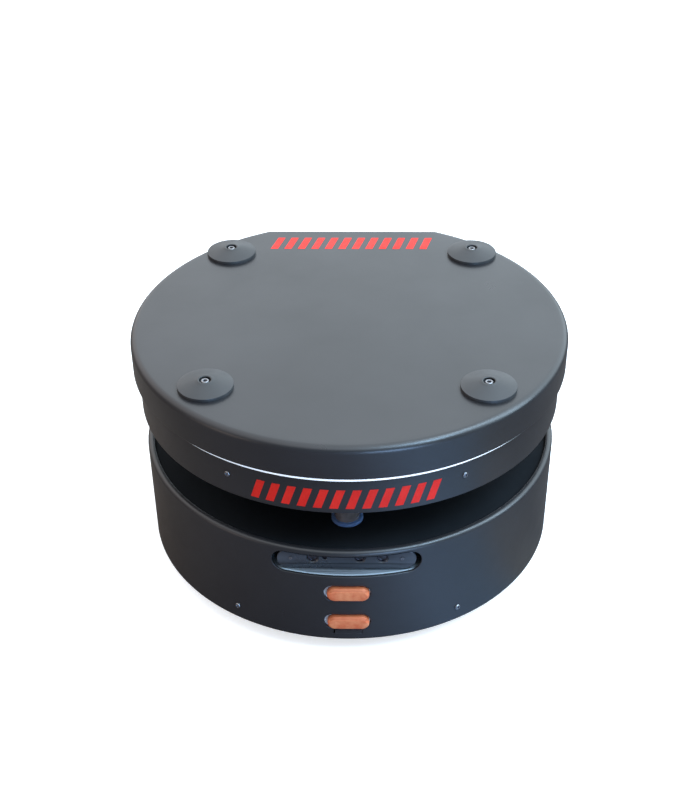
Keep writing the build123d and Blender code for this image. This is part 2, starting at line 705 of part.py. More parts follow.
# ---------------------------------------------------------------- castors

HOUSING_TOP = 78.0
ROOF = 4.0
STEM_R = 7.0
CASTOR_WHEEL_HALF = 10.0
AXLE_R = 4.0


def castor_housings():
    """Cups that stand on the base plate, each with a flange and a hole for the stem."""
    under_roof = HOUSING_TOP - ROOF
    cup = cylinder(CASTOR_WELL_R + WALL, BASE_TOP, HOUSING_TOP)
    cup += cylinder(CASTOR_WELL_R + 10, BASE_TOP, BASE_TOP + WALL)
    cup -= cylinder(CASTOR_WELL_R, BASE_TOP, under_roof)
    cup -= cylinder(STEM_R + RUN, under_roof, HOUSING_TOP)
    return group(Pos(x, y, 0) * cup for x, y in CASTOR_PLACES)


def castor_fork(x, y):
    """Two legs with an axle, a crown, and a stem kept in its cup by a washer above the roof."""
    crown = 62.0
    crown_top = crown + 4
    stem_top = HOUSING_TOP + 4
    under_cup = HOUSING_TOP - ROOF - 0.1
    leg = (CASTOR_WHEEL_HALF + 2, CASTOR_WHEEL_HALF + 5)
    axle_y = y + CASTOR_TRAIL
    fork = rounded_block((x - leg[1], x + leg[1]), (y - 12, y + 24), (crown, crown_top), 4)
    fork += cylinder(17, crown_top, under_cup, x, y) + cylinder(STEM_R, under_cup, stem_top, x, y)
    fork += cylinder(10, HOUSING_TOP + 0.1, stem_top, x, y)
    for side in (-1, 1):
        leg_x = sorted(x + side * reach for reach in leg)
        fork += block(leg_x, (y - 2, y + 22), (CASTOR_WHEEL_R, crown))
        fork += x_rod(2 * AXLE_R, *leg_x, axle_y, CASTOR_WHEEL_R)
    axle_half = leg[1] + 1
    return fork + x_rod(AXLE_R, x - axle_half, x + axle_half, axle_y, CASTOR_WHEEL_R)


def castor_wheel(x, y):
    limits = (x - CASTOR_WHEEL_HALF, x + CASTOR_WHEEL_HALF)
    centre = (y + CASTOR_TRAIL, CASTOR_WHEEL_R)
    wheel = x_rod(CASTOR_WHEEL_R, *limits, *centre)
    wheel = fillet(wheel.edges().filter_by(GeomType.CIRCLE), 3)
    return wheel - x_rod(AXLE_R + RUN, *limits, *centre)


# ---------------------------------------------------------------- rear panel

PANEL_BACK = BODY_FLAT + 2.0
ESTOP_PLACE = (0.0, 100.0)
ESTOP_REACH = 18.0       # how far the button stands out from the panel
ESTOP_BARREL_R = 10.0
ESTOP_STEM_R = 8.0
SWITCH_PLACE = (46.0, 100.0)
SWITCH_HALF = (9.5, 6.0)
SOCKET_PLACE = (-46.0, 100.0)
SOCKET_R = 11.0
PORT_XS = (-40.0, -14.0)
PORT_Z = 60.0
PORT_HALF = (8.5, 7.0)


def rear_panel():
    panel = block((-80, 80), (BODY_FLAT, PANEL_BACK), (36, 134))
    panel = fillet(panel.edges().filter_by(Axis.Y), 8)
    fit = 0.1
    panel -= y_rod(ESTOP_BARREL_R + fit, BODY_FLAT, PANEL_BACK, *ESTOP_PLACE)
    panel -= y_rod(SOCKET_R + fit, BODY_FLAT, PANEL_BACK, *SOCKET_PLACE)
    rocker_room = (SWITCH_HALF[0] + 3 * fit, SWITCH_HALF[1] + 1)
    panel -= panel_opening(SWITCH_PLACE, rocker_room)
    for x in PORT_XS:
        panel -= panel_opening((x, PORT_Z), (PORT_HALF[0] + fit, PORT_HALF[1] + fit))
    vent_pitch = 5.0
    vent = Pos(38, PANEL_BACK, 50) * extrude(Plane.XZ * SlotOverall(44, 2.4), PANEL_BACK - BODY_FLAT)
    for row in range(5):
        panel -= Pos(0, 0, row * vent_pitch) * vent
    for x, z in PANEL_SCREW_PLACES:
        panel -= y_rod(PANEL_SCREW_HOLE_R, BODY_FLAT, PANEL_BACK, x, z)
    return panel


def panel_opening(place, half):
    """A rectangle through the rear panel, from its centre and half its size."""
    x, z = place
    return block((x - half[0], x + half[0]), (BODY_FLAT, PANEL_BACK), (z - half[1], z + half[1]))


def flat_screw(radius, x, y_seat, z, facing):
    """A small round-headed screw along Y, its head on the side it faces."""
    head_height = radius
    face_y = y_seat + facing * head_height
    head = y_rod(radius * 1.9, y_seat, face_y, x, z)
    shank = y_rod(radius, y_seat, y_seat - facing * radius * 3.3, x, z)
    socket = y_rod(radius * 0.8, face_y - facing * head_height * 0.6, face_y, x, z)
    return head + shank - socket


def panel_screws():
    rear = [flat_screw(PANEL_SCREW_R, x, PANEL_BACK, z, 1) for x, z in PANEL_SCREW_PLACES]
    front = [flat_screw(BEZEL_SCREW_R, x, BEZEL_Y, LENS_Z, -1) for x in BEZEL_SCREW_XS]
    return group(rear + front)


def estop_collar():
    face = PANEL_BACK + 3.5
    collar = y_rod(17, PANEL_BACK, face, *ESTOP_PLACE)
    collar = fillet(collar.faces().sort_by(Axis.Y)[-1].edges(), 1.2)
    collar += y_rod(ESTOP_BARREL_R, BODY_FLAT - 20, PANEL_BACK, *ESTOP_PLACE)
    return collar - y_rod(ESTOP_STEM_R + RUN, BODY_FLAT - 14, face, *ESTOP_PLACE)


def estop_button():
    underside = PANEL_BACK + ESTOP_REACH / 2
    head = y_rod(15, underside, PANEL_BACK + ESTOP_REACH, *ESTOP_PLACE)
    head = fillet(head.faces().sort_by(Axis.Y)[-1].edges(), 3)
    return head + y_rod(ESTOP_STEM_R, BODY_FLAT - 8, underside, *ESTOP_PLACE)


def power_switch():
    """A rocker that tips about a bar along X, with a shallow valley across its face."""
    x, z = SWITCH_PLACE
    half, height = SWITCH_HALF
    inside = -6.0
    tip = 3.2
    valley = 1.4
    with BuildSketch(Plane.YZ) as section:
        with BuildLine():
            Polyline((inside, -height), (tip, -height), (valley, 0), (tip, height), (inside, height),
                     close=True)
        make_face()
    return Pos(x - half, PANEL_BACK, z) * extrude(section.sketch, 2 * half)


def charge_socket():
    """A round socket with a centre pin, sunk through the panel."""
    face = PANEL_BACK + 2.5
    body = y_rod(SOCKET_R + 4, PANEL_BACK, face, *SOCKET_PLACE)
    body += y_rod(SOCKET_R, BODY_FLAT - 16, PANEL_BACK, *SOCKET_PLACE)
    body -= y_rod(SOCKET_R - 3, BODY_FLAT - 10, face, *SOCKET_PLACE)
    return body + y_rod(2, BODY_FLAT - 12, PANEL_BACK, *SOCKET_PLACE)


def data_ports():
    wall = 2.4
    face = PANEL_BACK + 0.6
    half_x, half_z = PORT_HALF
    port = block((-half_x, half_x), (BODY_FLAT - 14, face), (-half_z, half_z))
    half_x -= wall
    half_z -= wall
    port -= block((-half_x, half_x), (BODY_FLAT - 10, face), (-half_z, half_z))
    return group(Pos(x, 0, PORT_Z) * port for x in PORT_XS)


# ---------------------------------------------------------------- electronics

BATTERY_TOP = 96.0
CABLE_LEVEL = 110.0


def battery_pack():
    return rounded_block((-53, 53), (50, 185), (BASE_TOP, BATTERY_TOP), 5)


def computer_box():
    """A closed box with a row of cooling fins on its lid."""
    top = 80.0
    fin_top = top + 12
    box = rounded_block((-50, 50), (-195, -50), (BASE_TOP, top), 4)
    fin = block((-44, 44), (0, WALL), (top, fin_top))
    fin_pitch = 14.0
    for row in range(9):
        box += Pos(0, -180 + row * fin_pitch, 0) * fin
    return box


def wiring_harness():
    """A lead from the battery up to the head, and a short one into the back of the scanner."""
    radius = 3.0
    battery_x = -40.0
    to_head = [(battery_x, LIFT_MOTOR_Y, BATTERY_TOP), (battery_x, LIFT_MOTOR_Y, CABLE_LEVEL),
               (CABLE_X, LIFT_MOTOR_Y, CABLE_LEVEL), (CABLE_X, LIFT_MOTOR_Y, TRAY_TOP + 2)]
    scanner_back = LIDAR_Y + LIDAR_BODY_HALF
    bend_y = scanner_back + 11.5
    lead_z = 116.0
    to_scanner = [(0, scanner_back, lead_z), (0, bend_y, lead_z), (0, bend_y, 92)]
    return group([cable(to_head, radius), cable(to_scanner, radius)])


def cable(points, radius):
    """A round cable through those points, with rounded bends."""
    path = FilletPolyline(*points, radius=2 * radius)
    start = Plane(origin=path @ 0, z_dir=path % 0)
    return sweep(start * Circle(radius), path=path)


PARTS = {
    "base_plate": base_plate, "lower_shell": lower_shell, "shell_screws": shell_screws,
    "deck_plate": deck_plate, "deck_posts": deck_posts,
    "lidar_body": lidar_body, "lidar_collar": lidar_collar, "lidar_window": lidar_window,
    "lidar_rotor": lidar_rotor,
    "camera_bezel": camera_bezel, "camera_body": camera_body, "camera_lenses": camera_lenses,
    "camera_shelf": camera_shelf,
    "contact_springs": contact_springs, "contact_carrier": contact_carrier,
    "head_posts": head_posts, "rear_column": rear_column, "head_tray": head_tray,
    "head_ring": head_ring, "light_ring": light_ring,
    "lid": lid, "locating_cones": locating_cones, "cone_screws": cone_screws,
    "lift_frame": lift_frame, "lift_nut": lift_nut, "guide_rods": guide_rods,
    "guide_bushes": guide_bushes, "lift_skirt": lift_skirt, "lead_screw": lead_screw,
    "screw_bearing": screw_bearing, "screw_pulley": screw_pulley, "motor_pulley": motor_pulley,
    "lift_belt": lift_belt, "lift_motor": lift_motor,
    "drive_motors": drive_motors, "castor_housings": castor_housings,
    "rear_panel": rear_panel, "panel_screws": panel_screws, "estop_collar": estop_collar,
    "estop_button": estop_button, "power_switch": power_switch,
    "charge_socket": charge_socket, "data_ports": data_ports,
    "battery_pack": battery_pack, "computer_box": computer_box,
    "wiring_harness": wiring_harness,
}

# The footprint runs from the front of the lid to the back of the emergency stop
FOOTPRINT_Y = (PANEL_BACK + ESTOP_REACH - LID_R) / 2


def store(name, shape):
    export_step(Pos(0, -FOOTPRINT_Y, 0) * shape, f"parts/{name}.step")


os.makedirs("parts", exist_ok=True)
for name, make in PARTS.items():
    store(name, make())
for name, z in CONTACT_ZS.items():
    store(f"{name}_contact", contact(z))
for name, side in (("left", -1), ("right", 1)):
    store(f"{name}_wheel_hub", wheel_hub(side))
    store(f"{name}_tyre", tyre(side))
for name, place in zip(("front_left", "rear_left", "front_right", "rear_right"), CASTOR_PLACES):
    store(f"{name}_castor_fork", castor_fork(*place))
    store(f"{name}_castor_wheel", castor_wheel(*place))
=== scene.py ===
import json
import math

import bmesh
import bpy
from mathutils import Matrix, Vector, geometry


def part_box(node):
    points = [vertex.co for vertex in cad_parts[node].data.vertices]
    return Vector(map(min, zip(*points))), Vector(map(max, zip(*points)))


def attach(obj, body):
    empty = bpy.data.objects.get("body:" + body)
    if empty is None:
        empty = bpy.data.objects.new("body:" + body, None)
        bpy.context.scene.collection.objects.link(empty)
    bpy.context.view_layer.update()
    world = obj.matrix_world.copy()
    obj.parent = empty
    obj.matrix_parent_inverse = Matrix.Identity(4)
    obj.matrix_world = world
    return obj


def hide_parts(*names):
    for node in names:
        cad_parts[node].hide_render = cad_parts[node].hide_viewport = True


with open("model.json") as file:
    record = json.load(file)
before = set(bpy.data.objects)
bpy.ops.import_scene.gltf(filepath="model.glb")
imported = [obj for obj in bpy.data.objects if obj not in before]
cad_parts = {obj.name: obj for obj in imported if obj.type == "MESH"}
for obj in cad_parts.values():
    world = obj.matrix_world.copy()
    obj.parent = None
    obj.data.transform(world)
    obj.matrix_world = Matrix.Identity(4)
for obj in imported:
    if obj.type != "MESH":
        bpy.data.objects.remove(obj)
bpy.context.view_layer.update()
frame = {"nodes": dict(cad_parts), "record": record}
nodes = frame["nodes"]

# ------------------------------------------------------------------ places, all from the frame

MM = 0.001
CREASE = math.radians(38)                   # edges sharper than this are shown as edges
LID_LOW, LID_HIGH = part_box("lid")
LID_R = (LID_HIGH.x - LID_LOW.x) / 2
AXIS_Y = LID_LOW.y + LID_R                  # the upright axis of the round body
LID_FLAT = LID_HIGH.y - AXIS_Y
RING_LOW, RING_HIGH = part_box("head_ring")
RING_R = (RING_HIGH.x - RING_LOW.x) / 2
RING_FLAT = RING_HIGH.y - AXIS_Y
SHELL_LOW, SHELL_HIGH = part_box("lower_shell")
SHELL_R = (SHELL_HIGH.x - SHELL_LOW.x) / 2
LIGHT_LOW, LIGHT_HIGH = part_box("light_ring")
LIGHT_R = (LIGHT_HIGH.x - LIGHT_LOW.x) / 2


def centre(node):
    """The middle of a CAD node's box."""
    low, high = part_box(node)
    return (low + high) / 2


# ------------------------------------------------------------------ mesh helpers

def new_object(name, vertices, faces, smooth=True):
    """A mesh object in the scene, smooth except at its sharp edges."""
    mesh = bpy.data.meshes.new(name)
    mesh.from_pydata([tuple(v) for v in vertices], [], faces)
    mesh.validate()
    mesh.polygons.foreach_set("use_smooth", [smooth] * len(mesh.polygons))
    mesh.set_sharp_from_angle(angle=CREASE)
    piece = bpy.data.objects.new(name, mesh)
    bpy.context.scene.collection.objects.link(piece)
    return piece


def loft(name, loops, wrap=False, cap_first=False, cap_last=False):
    """A skin over loops that have the same number of points; wrap joins the last loop to the first."""
    count = len(loops[0])
    vertices = [point for loop in loops for point in loop]
    faces = []
    rows = len(loops) if wrap else len(loops) - 1
    for row in range(rows):
        here = row * count
        there = ((row + 1) % len(loops)) * count
        for i in range(count):
            j = (i + 1) % count
            faces.append((here + i, here + j, there + j, there + i))
    if cap_first:
        faces.append(tuple(reversed(range(count))))
    if cap_last:
        start = (len(loops) - 1) * count
        faces.append(tuple(range(start, start + count)))
    return new_object(name, vertices, faces)


def arc_points(cx, cy, radius, start, end, count):
    """Points on an arc from one angle to another, in radians, without the last one."""
    step = (end - start) / count
    return [(cx + radius * math.cos(start + step * i), cy + radius * math.sin(start + step * i))
            for i in range(count)]


def tier_outline(radius, flat, corner, inset, z):
    """A loop round a disc whose back is cut off flat, moved inward by inset, at height z."""
    round_by = max(corner - inset, 0.3 * MM)
    reach = radius - inset - round_by
    corner_y = flat - inset - round_by
    corner_x = math.sqrt(reach * reach - corner_y * corner_y)
    tilt = math.atan2(corner_y, corner_x)
    points = arc_points(0, 0, radius - inset, -math.pi - tilt, tilt, 320)
    points += arc_points(corner_x, corner_y, round_by, tilt, math.pi / 2, 10)
    points += [(corner_x - 2 * corner_x * i / 40, flat - inset) for i in range(40)]
    points += arc_points(-corner_x, corner_y, round_by, math.pi / 2, math.pi - tilt, 10)
    return [(x, y + AXIS_Y, z) for x, y in points]


def rounded(inset_from, z_from, inset_to, z_to, steps, bulge_at_start):
    """A quarter round between two points of a section, as (inset, height) pairs."""
    pairs = []
    for i in range(steps + 1):
        t = math.pi / 2 * i / steps
        across = math.sin(t) if bulge_at_start else 1 - math.cos(t)
        along = 1 - math.cos(t) if bulge_at_start else math.sin(t)
        pairs.append((inset_from + (inset_to - inset_from) * across,
                      z_from + (z_to - z_from) * along))
    return pairs


def hexagon(apothem):
    """Distance from the centre to the side of a hexagon, as a function of angle."""
    sixth = math.pi / 3
    return lambda angle: apothem / math.cos(angle % sixth - sixth / 2)


AXIS_HOLE = 0.02                            # radius in mm at which a turned end is capped


def lathe(name, profile, place, axis="Z", turns=96):
    """A turned piece from (radius, height) pairs in millimetres about an axis through place.

    A radius of zero closes an end, and a radius may be a function of the angle round the axis.
    """
    loops = []
    for radius, height in profile:
        loop = []
        for i in range(turns):
            angle = 2 * math.pi * i / turns
            reach = radius(angle) if callable(radius) else max(radius, AXIS_HOLE)
            u, v = reach * math.cos(angle), reach * math.sin(angle)
            point = {"Z": (u, v, height), "Y": (-u, height, v), "X": (height, u, v)}[axis]
            loop.append(Vector(point) * MM + Vector(place))
        loops.append(loop)
    closed_start = profile[0][0] == 0
    closed_end = profile[-1][0] == 0
    return loft(name, loops, wrap=not (closed_start or closed_end),
                cap_first=closed_start, cap_last=closed_end)


def rounded_loop(length, height, corner, grow):
    """Points round a rectangle with rounded corners, as (x, z) pairs, made larger all round by grow."""
    radius = corner + grow
    half_x = length / 2 - corner
    half_z = height / 2 - corner
    quarter = math.pi / 2
    points = []
    middles = ((half_x, -half_z), (half_x, half_z), (-half_x, half_z), (-half_x, -half_z))
    for turn, (x, z) in enumerate(middles):
        start = (turn - 1) * quarter
        finish = start + quarter
        points += arc_points(x, z, radius, start, finish, 12)
        is_long = turn % 2 == 1
        side = 2 * (half_x if is_long else half_z)
        spans = 24 if is_long else 4
        if side > 0.01 * MM:
            first = (x + radius * math.cos(finish), z + radius * math.sin(finish))
            along = (-math.sin(finish) * side / spans, math.cos(finish) * side / spans)
            points += [(first[0] + along[0] * i, first[1] + along[1] * i) for i in range(spans)]
    return points


def finish_piece(piece, body, slot, node):
    """Gives a piece its material, ties it to its body and puts it in the place of a CAD node."""
    piece.data.materials.append(MATERIALS[slot])
    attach(piece, body)
    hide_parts(node)


# ------------------------------------------------------------------ material helpers

def map_range(tree, value, from_min, from_max, to_min, to_max, smooth=False):
    span = tree.nodes.new("ShaderNodeMapRange")
    span.interpolation_type = "SMOOTHSTEP" if smooth else "LINEAR"
    limits = {"From Min": from_min, "From Max": from_max, "To Min": to_min, "To Max": to_max}
    for name, number in limits.items():
        span.inputs[name].default_value = number
    tree.links.new(value, span.inputs["Value"])
    return span.outputs["Result"]


def split(tree, vector):
    """The X, Y and Z outputs of a vector."""
    parts = tree.nodes.new("ShaderNodeSeparateXYZ")
    tree.links.new(vector, parts.inputs["Vector"])
    return parts.outputs


def calculate(tree, operation, first, second):
    """A sum of two values, either of which may be a plain number."""
    step = tree.nodes.new("ShaderNodeMath")
    step.operation = operation
    for socket, value in zip(step.inputs, (first, second)):
        if isinstance(value, (int, float)):
            socket.default_value = value
        else:
            tree.links.new(value, socket)
    return step.outputs["Value"]


class Surface:
    """A principled material with grain, mottling, wear and painted edge highlights built from noise in
    object space.
    """

    def __init__(self, name, colour, roughness, metallic=0.0, specular=0.5):
        self.material = bpy.data.materials.new(name)
        self.material.use_nodes = True
        self.material.diffuse_color = (*colour, 1)
        self.tree = self.material.node_tree
        self.shader = self.tree.nodes["Principled BSDF"]
        self.shader.inputs["Base Color"].default_value = (*colour, 1)
        self.shader.inputs["Roughness"].default_value = roughness
        self.shader.inputs["Metallic"].default_value = metallic
        self.shader.inputs["Specular IOR Level"].default_value = specular
        self.place = self.tree.nodes.new("ShaderNodeTexCoord").outputs["Object"]
        self.normal = None

    def noise(self, scale, detail, stretch=None, roughness=0.55):
        """Noise over the object, drawn out along an axis if stretch has a smaller number there."""
        place = self.place
        if stretch:
            mapping = self.tree.nodes.new("ShaderNodeMapping")
            mapping.inputs["Scale"].default_value = stretch
            self.tree.links.new(place, mapping.inputs["Vector"])
            place = mapping.outputs["Vector"]
        texture = self.tree.nodes.new("ShaderNodeTexNoise")
        texture.inputs["Scale"].default_value = scale
        texture.inputs["Detail"].default_value = detail
        texture.inputs["Roughness"].default_value = roughness
        self.tree.links.new(place, texture.inputs["Vector"])
        return texture.outputs["Fac"]

    def ramp(self, value, low, high, from_colour, to_colour):
        """A colour that goes from one to another while the value goes from low to high."""
        ramp = self.tree.nodes.new("ShaderNodeValToRGB")
        ramp.color_ramp.elements[0].position = low
        ramp.color_ramp.elements[1].position = high
        ramp.color_ramp.elements[0].color = (*from_colour, 1)
        ramp.color_ramp.elements[1].color = (*to_colour, 1)
        self.tree.links.new(value, ramp.inputs["Fac"])
        return ramp.outputs["Color"]

    def colour_steps(self, value, steps):
        """Colours along a value, given as (position, colour) pairs in rising order."""
        ramp = self.tree.nodes.new("ShaderNodeValToRGB")
        elements = ramp.color_ramp.elements
        for position, _ in steps[1:-1]:
            elements.new(position)
        for element, (position, colour) in zip(elements, steps):
            element.position = position
            element.color = (*colour, 1)
        self.tree.links.new(value, ramp.inputs["Fac"])
        return ramp.outputs["Color"]

    def colour_from(self, value, low, high, from_colour, to_colour):
        self.drive("Base Color", self.ramp(value, low, high, from_colour, to_colour))

    def mixed(self, amount, colour, other):
        """A colour output that turns into another, plain colour as the amount goes from 0 to 1."""
        mix = self.tree.nodes.new("ShaderNodeMixRGB")
        mix.inputs["Color2"].default_value = (*other, 1)
        self.tree.links.new(amount, mix.inputs["Fac"])
        self.tree.links.new(colour, mix.inputs["Color1"])
        return mix.outputs["Color"]

    def drive(self, name, value):
        self.tree.links.new(value, self.shader.inputs[name])

    def roughness_from(self, value, smooth, rough):
        self.drive("Roughness", map_range(self.tree, value, 0.3, 0.7, smooth, rough))

    def bump(self, value, strength, depth):
        bump = self.tree.nodes.new("ShaderNodeBump")
        bump.inputs["Strength"].default_value = strength
        bump.inputs["Distance"].default_value = depth
        self.tree.links.new(value, bump.inputs["Height"])
        if self.normal:
            self.tree.links.new(self.normal, bump.inputs["Normal"])
        self.normal = bump.outputs["Normal"]
        self.drive("Normal", self.normal)

    def wear_and_highlight_edges(self, radius, wear_and_highlight_colour):
        """Lightens the colour in broken patches along sharp edges, as wear and, where a pale bright colour
        is given, as a painted highlight.
        """
        nodes, links = self.tree.nodes, self.tree.links
        bevel = nodes.new("ShaderNodeBevel")
        bevel.samples = 4
        bevel.inputs["Radius"].default_value = radius
        flat = nodes.new("ShaderNodeNewGeometry").outputs["Normal"]
        facing = nodes.new("ShaderNodeVectorMath")
        facing.operation = "DOT_PRODUCT"
        links.new(bevel.outputs["Normal"], facing.inputs[0])
        links.new(flat, facing.inputs[1])
        edge = map_range(self.tree, facing.outputs["Value"], 0.97, 0.75, 0, 1)
        patches = map_range(self.tree, self.noise(220, 5), 0.42, 0.62, 0, 0.8)
        pale_edge_mask = calculate(self.tree, "MULTIPLY", edge, patches)
        plain_colour = self.shader.inputs["Base Color"].links[0].from_socket
        self.drive("Base Color", self.mixed(pale_edge_mask, plain_colour, wear_and_highlight_colour))

    def set(self, name, value):
        self.shader.inputs[name].default_value = value


def powder_coat(name, colour, smooth, rough, specular=0.5):
    """Powder coat: orange peel, slow waves, smeary handling marks and paler worn edges."""
    paint = Surface(name, colour, (smooth + rough) / 2, specular=specular)
    lighter = tuple(c * 1.5 + 0.003 for c in colour)
    paint.colour_from(paint.noise(5, 6), 0.35, 0.75, colour, lighter)
    paint.roughness_from(paint.noise(8, 7, roughness=0.65), smooth, rough)
    paint.bump(paint.noise(11, 3), 0.25, 0.0006)
    paint.bump(paint.noise(900, 2), 0.35, 0.00005)
    paint.wear_and_highlight_edges(0.0008, tuple(c * 6 + 0.03 for c in colour))
    return paint.material


def moulded_plastic(name, colour, smooth, rough):
    """Moulded plastic with a fine grain and soft changes of tone."""
    plastic = Surface(name, colour, (smooth + rough) / 2)
    lighter = tuple(min(1.0, c * 1.25 + 0.003) for c in colour)
    plastic.colour_from(plastic.noise(14, 4), 0.35, 0.7, colour, lighter)
    plastic.roughness_from(plastic.noise(30, 5), smooth, rough)
    plastic.bump(plastic.noise(1600, 2), 0.25, 0.00004)
    return plastic.material


def machined_metal(name, colour, smooth, rough, stretch=(40, 40, 900)):
    """Bare metal with fine tool marks that run one way."""
    metal = Surface(name, colour, (smooth + rough) / 2, metallic=1.0)
    darker = tuple(c * 0.78 for c in colour)
    marks = metal.noise(2, 5, stretch)
    metal.colour_from(metal.noise(25, 5), 0.3, 0.7, darker, colour)
    metal.roughness_from(marks, smooth, rough)
    metal.bump(marks, 0.2, 0.00003)
    return metal.material


def rubber(name):
    """Dull black rubber with a dusty grain."""
    skin = Surface(name, (0.022, 0.022, 0.023), 0.75, specular=0.3)
    skin.colour_from(skin.noise(60, 6), 0.3, 0.75, (0.016, 0.016, 0.017), (0.05, 0.048, 0.045))
    skin.roughness_from(skin.noise(80, 4), 0.62, 0.88)
    skin.bump(skin.noise(1200, 3), 0.5, 0.00008)
    return skin.material


def red_vinyl():
    """Matt red film."""
    vinyl = Surface("red_vinyl", (0.66, 0.019, 0.012), 0.45, specular=0.2)
    vinyl.colour_from(vinyl.noise(40, 4), 0.3, 0.75, (0.60, 0.014, 0.009), (0.72, 0.024, 0.014))
    vinyl.roughness_from(vinyl.noise(60, 4), 0.38, 0.52)
    vinyl.bump(vinyl.noise(1500, 2), 0.15, 0.00002)
    return vinyl.material


def light_diffuser():
    """Milky plastic with a painted glow, brighter toward the right as painted light where the studio light
    falls from that side.
    """
    milk = Surface("milky_diffuser", (0.8, 0.83, 0.86), 0.5)
    glow = milk.ramp(milk.noise(30, 3), 0.3, 0.7, (0.80, 0.92, 1.0), (1.0, 0.98, 0.95))
    milk.drive("Emission Color", glow)
    painted_light_across = split(milk.tree, milk.place)["X"]
    # Painted light: the glow grows from left to right, as the light on the band does.
    milk.drive("Emission Strength", map_range(milk.tree, painted_light_across, -0.25, 0.12, 0.32, 0.82, smooth=True))
    milk.bump(milk.noise(700, 2), 0.2, 0.00003)
    return milk.material


def smoked_window():
    """Brown smoked plastic under a clear coat."""
    tint = Surface("smoked_window", (0.11, 0.08, 0.07), 0.15, specular=0.6)
    tint.colour_from(tint.noise(80, 3), 0.3, 0.7, (0.08, 0.060, 0.050), (0.16, 0.125, 0.11))
    tint.roughness_from(tint.noise(120, 4), 0.1, 0.22)
    tint.set("Coat Weight", 0.6)
    tint.set("Coat Roughness", 0.05)
    return tint.material


def copper():
    """Brushed copper, darker and browner where it faces up as painted shade under the slot edge."""
    bar = Surface("brushed_copper", (0.90, 0.30, 0.13), 0.5, metallic=0.3)
    strokes = bar.noise(2.2, 6, (60, 60, 1400))
    colour = bar.ramp(bar.noise(110, 7), 0.36, 0.66, (0.68, 0.145, 0.052), (0.80, 0.265, 0.110))
    normal = bar.tree.nodes.new("ShaderNodeNewGeometry").outputs["Normal"]
    # Painted shade: faces turned up are mixed toward dark brown.
    painted_top_shade = map_range(bar.tree, split(bar.tree, normal)["Z"], 0.25, 0.6, 0, 0.7, smooth=True)
    bar.drive("Base Color", bar.mixed(painted_top_shade, colour, (0.27, 0.066, 0.022)))
    bar.roughness_from(strokes, 0.4, 0.62)
    bar.bump(strokes, 0.25, 0.00003)
    bar.bump(bar.noise(160, 4), 0.35, 0.00015)
    return bar.material


def lens_glass():
    """Near-black lens with a violet coating."""
    glass = Surface("lens_glass", (0.004, 0.004, 0.006), 0.08, specular=0.6)
    glass.colour_from(glass.noise(300, 2), 0.3, 0.7, (0.003, 0.003, 0.005), (0.008, 0.007, 0.012))
    glass.roughness_from(glass.noise(200, 3), 0.05, 0.14)
    glass.set("Coat Weight", 0.5)
    glass.set("Coat Tint", (0.8, 0.78, 1.0, 1))
    return glass.material


def bezel_plastic():
    """Grey-black plastic whose moulded edges are pale, partly worn and partly a painted highlight, with
    painted shade for a dark groove along it.
    """
    plate = Surface("bezel_plastic", (0.05, 0.06, 0.07), 0.25)
    streaks = plate.noise(1, 5, (12, 90, 90))
    colour = plate.ramp(streaks, 0.36, 0.66, (0.030, 0.034, 0.040), (0.052, 0.058, 0.067))
    # Painted shade: a dark line across the plate where a groove would lie in shadow.
    groove_painted_shade = plate.tree.nodes.new("ShaderNodeMath")
    groove_painted_shade.operation = "COMPARE"
    groove_painted_shade.inputs[1].default_value = BEZEL_GROOVE_Z
    groove_painted_shade.inputs[2].default_value = BEZEL_GROOVE_HALF
    plate.tree.links.new(split(plate.tree, plate.place)["Z"], groove_painted_shade.inputs[0])
    plate.drive("Base Color", plate.mixed(groove_painted_shade.outputs["Value"], colour, (0.012, 0.014, 0.017)))
    plate.roughness_from(plate.noise(12, 6), 0.2, 0.36)
    plate.bump(plate.noise(1600, 2), 0.2, 0.00004)
    # Pale edges: partly wear, partly a painted highlight along the rolled border.
    plate.wear_and_highlight_edges(0.0004, (0.22, 0.26, 0.31))
    return plate.material


def shelf_plastic():
    """Grey sheet with streaks that run from side to side and a painted highlight along its front edge."""
    sheet = Surface("shelf_plastic", (0.2, 0.23, 0.26), 0.35)
    streaks = sheet.noise(1, 5, (9, 420, 420))
    colour = sheet.ramp(streaks, 0.38, 0.62, (0.07, 0.085, 0.10), (0.20, 0.225, 0.25))
    place = split(sheet.tree, sheet.place)
    forward = calculate(sheet.tree, "SUBTRACT", place["Y"], AXIS_Y)
    reach = calculate(sheet.tree, "ADD", calculate(sheet.tree, "MULTIPLY", place["X"], place["X"]),
                      calculate(sheet.tree, "MULTIPLY", forward, forward))
    from_axis = calculate(sheet.tree, "SQRT", reach, 0)
    # Painted highlight: a pale bluish band along the front edge where the rounded lip catches the light.
    edge = map_range(sheet.tree, from_axis, SHELL_R - 5.4 * MM, SHELL_R - 4.4 * MM, 0, 0.8)
    sheet.drive("Base Color", sheet.mixed(edge, colour, (0.42, 0.50, 0.56)))
    sheet.roughness_from(streaks, 0.25, 0.42)
    sheet.bump(streaks, 0.15, 0.00004)
    return sheet.material


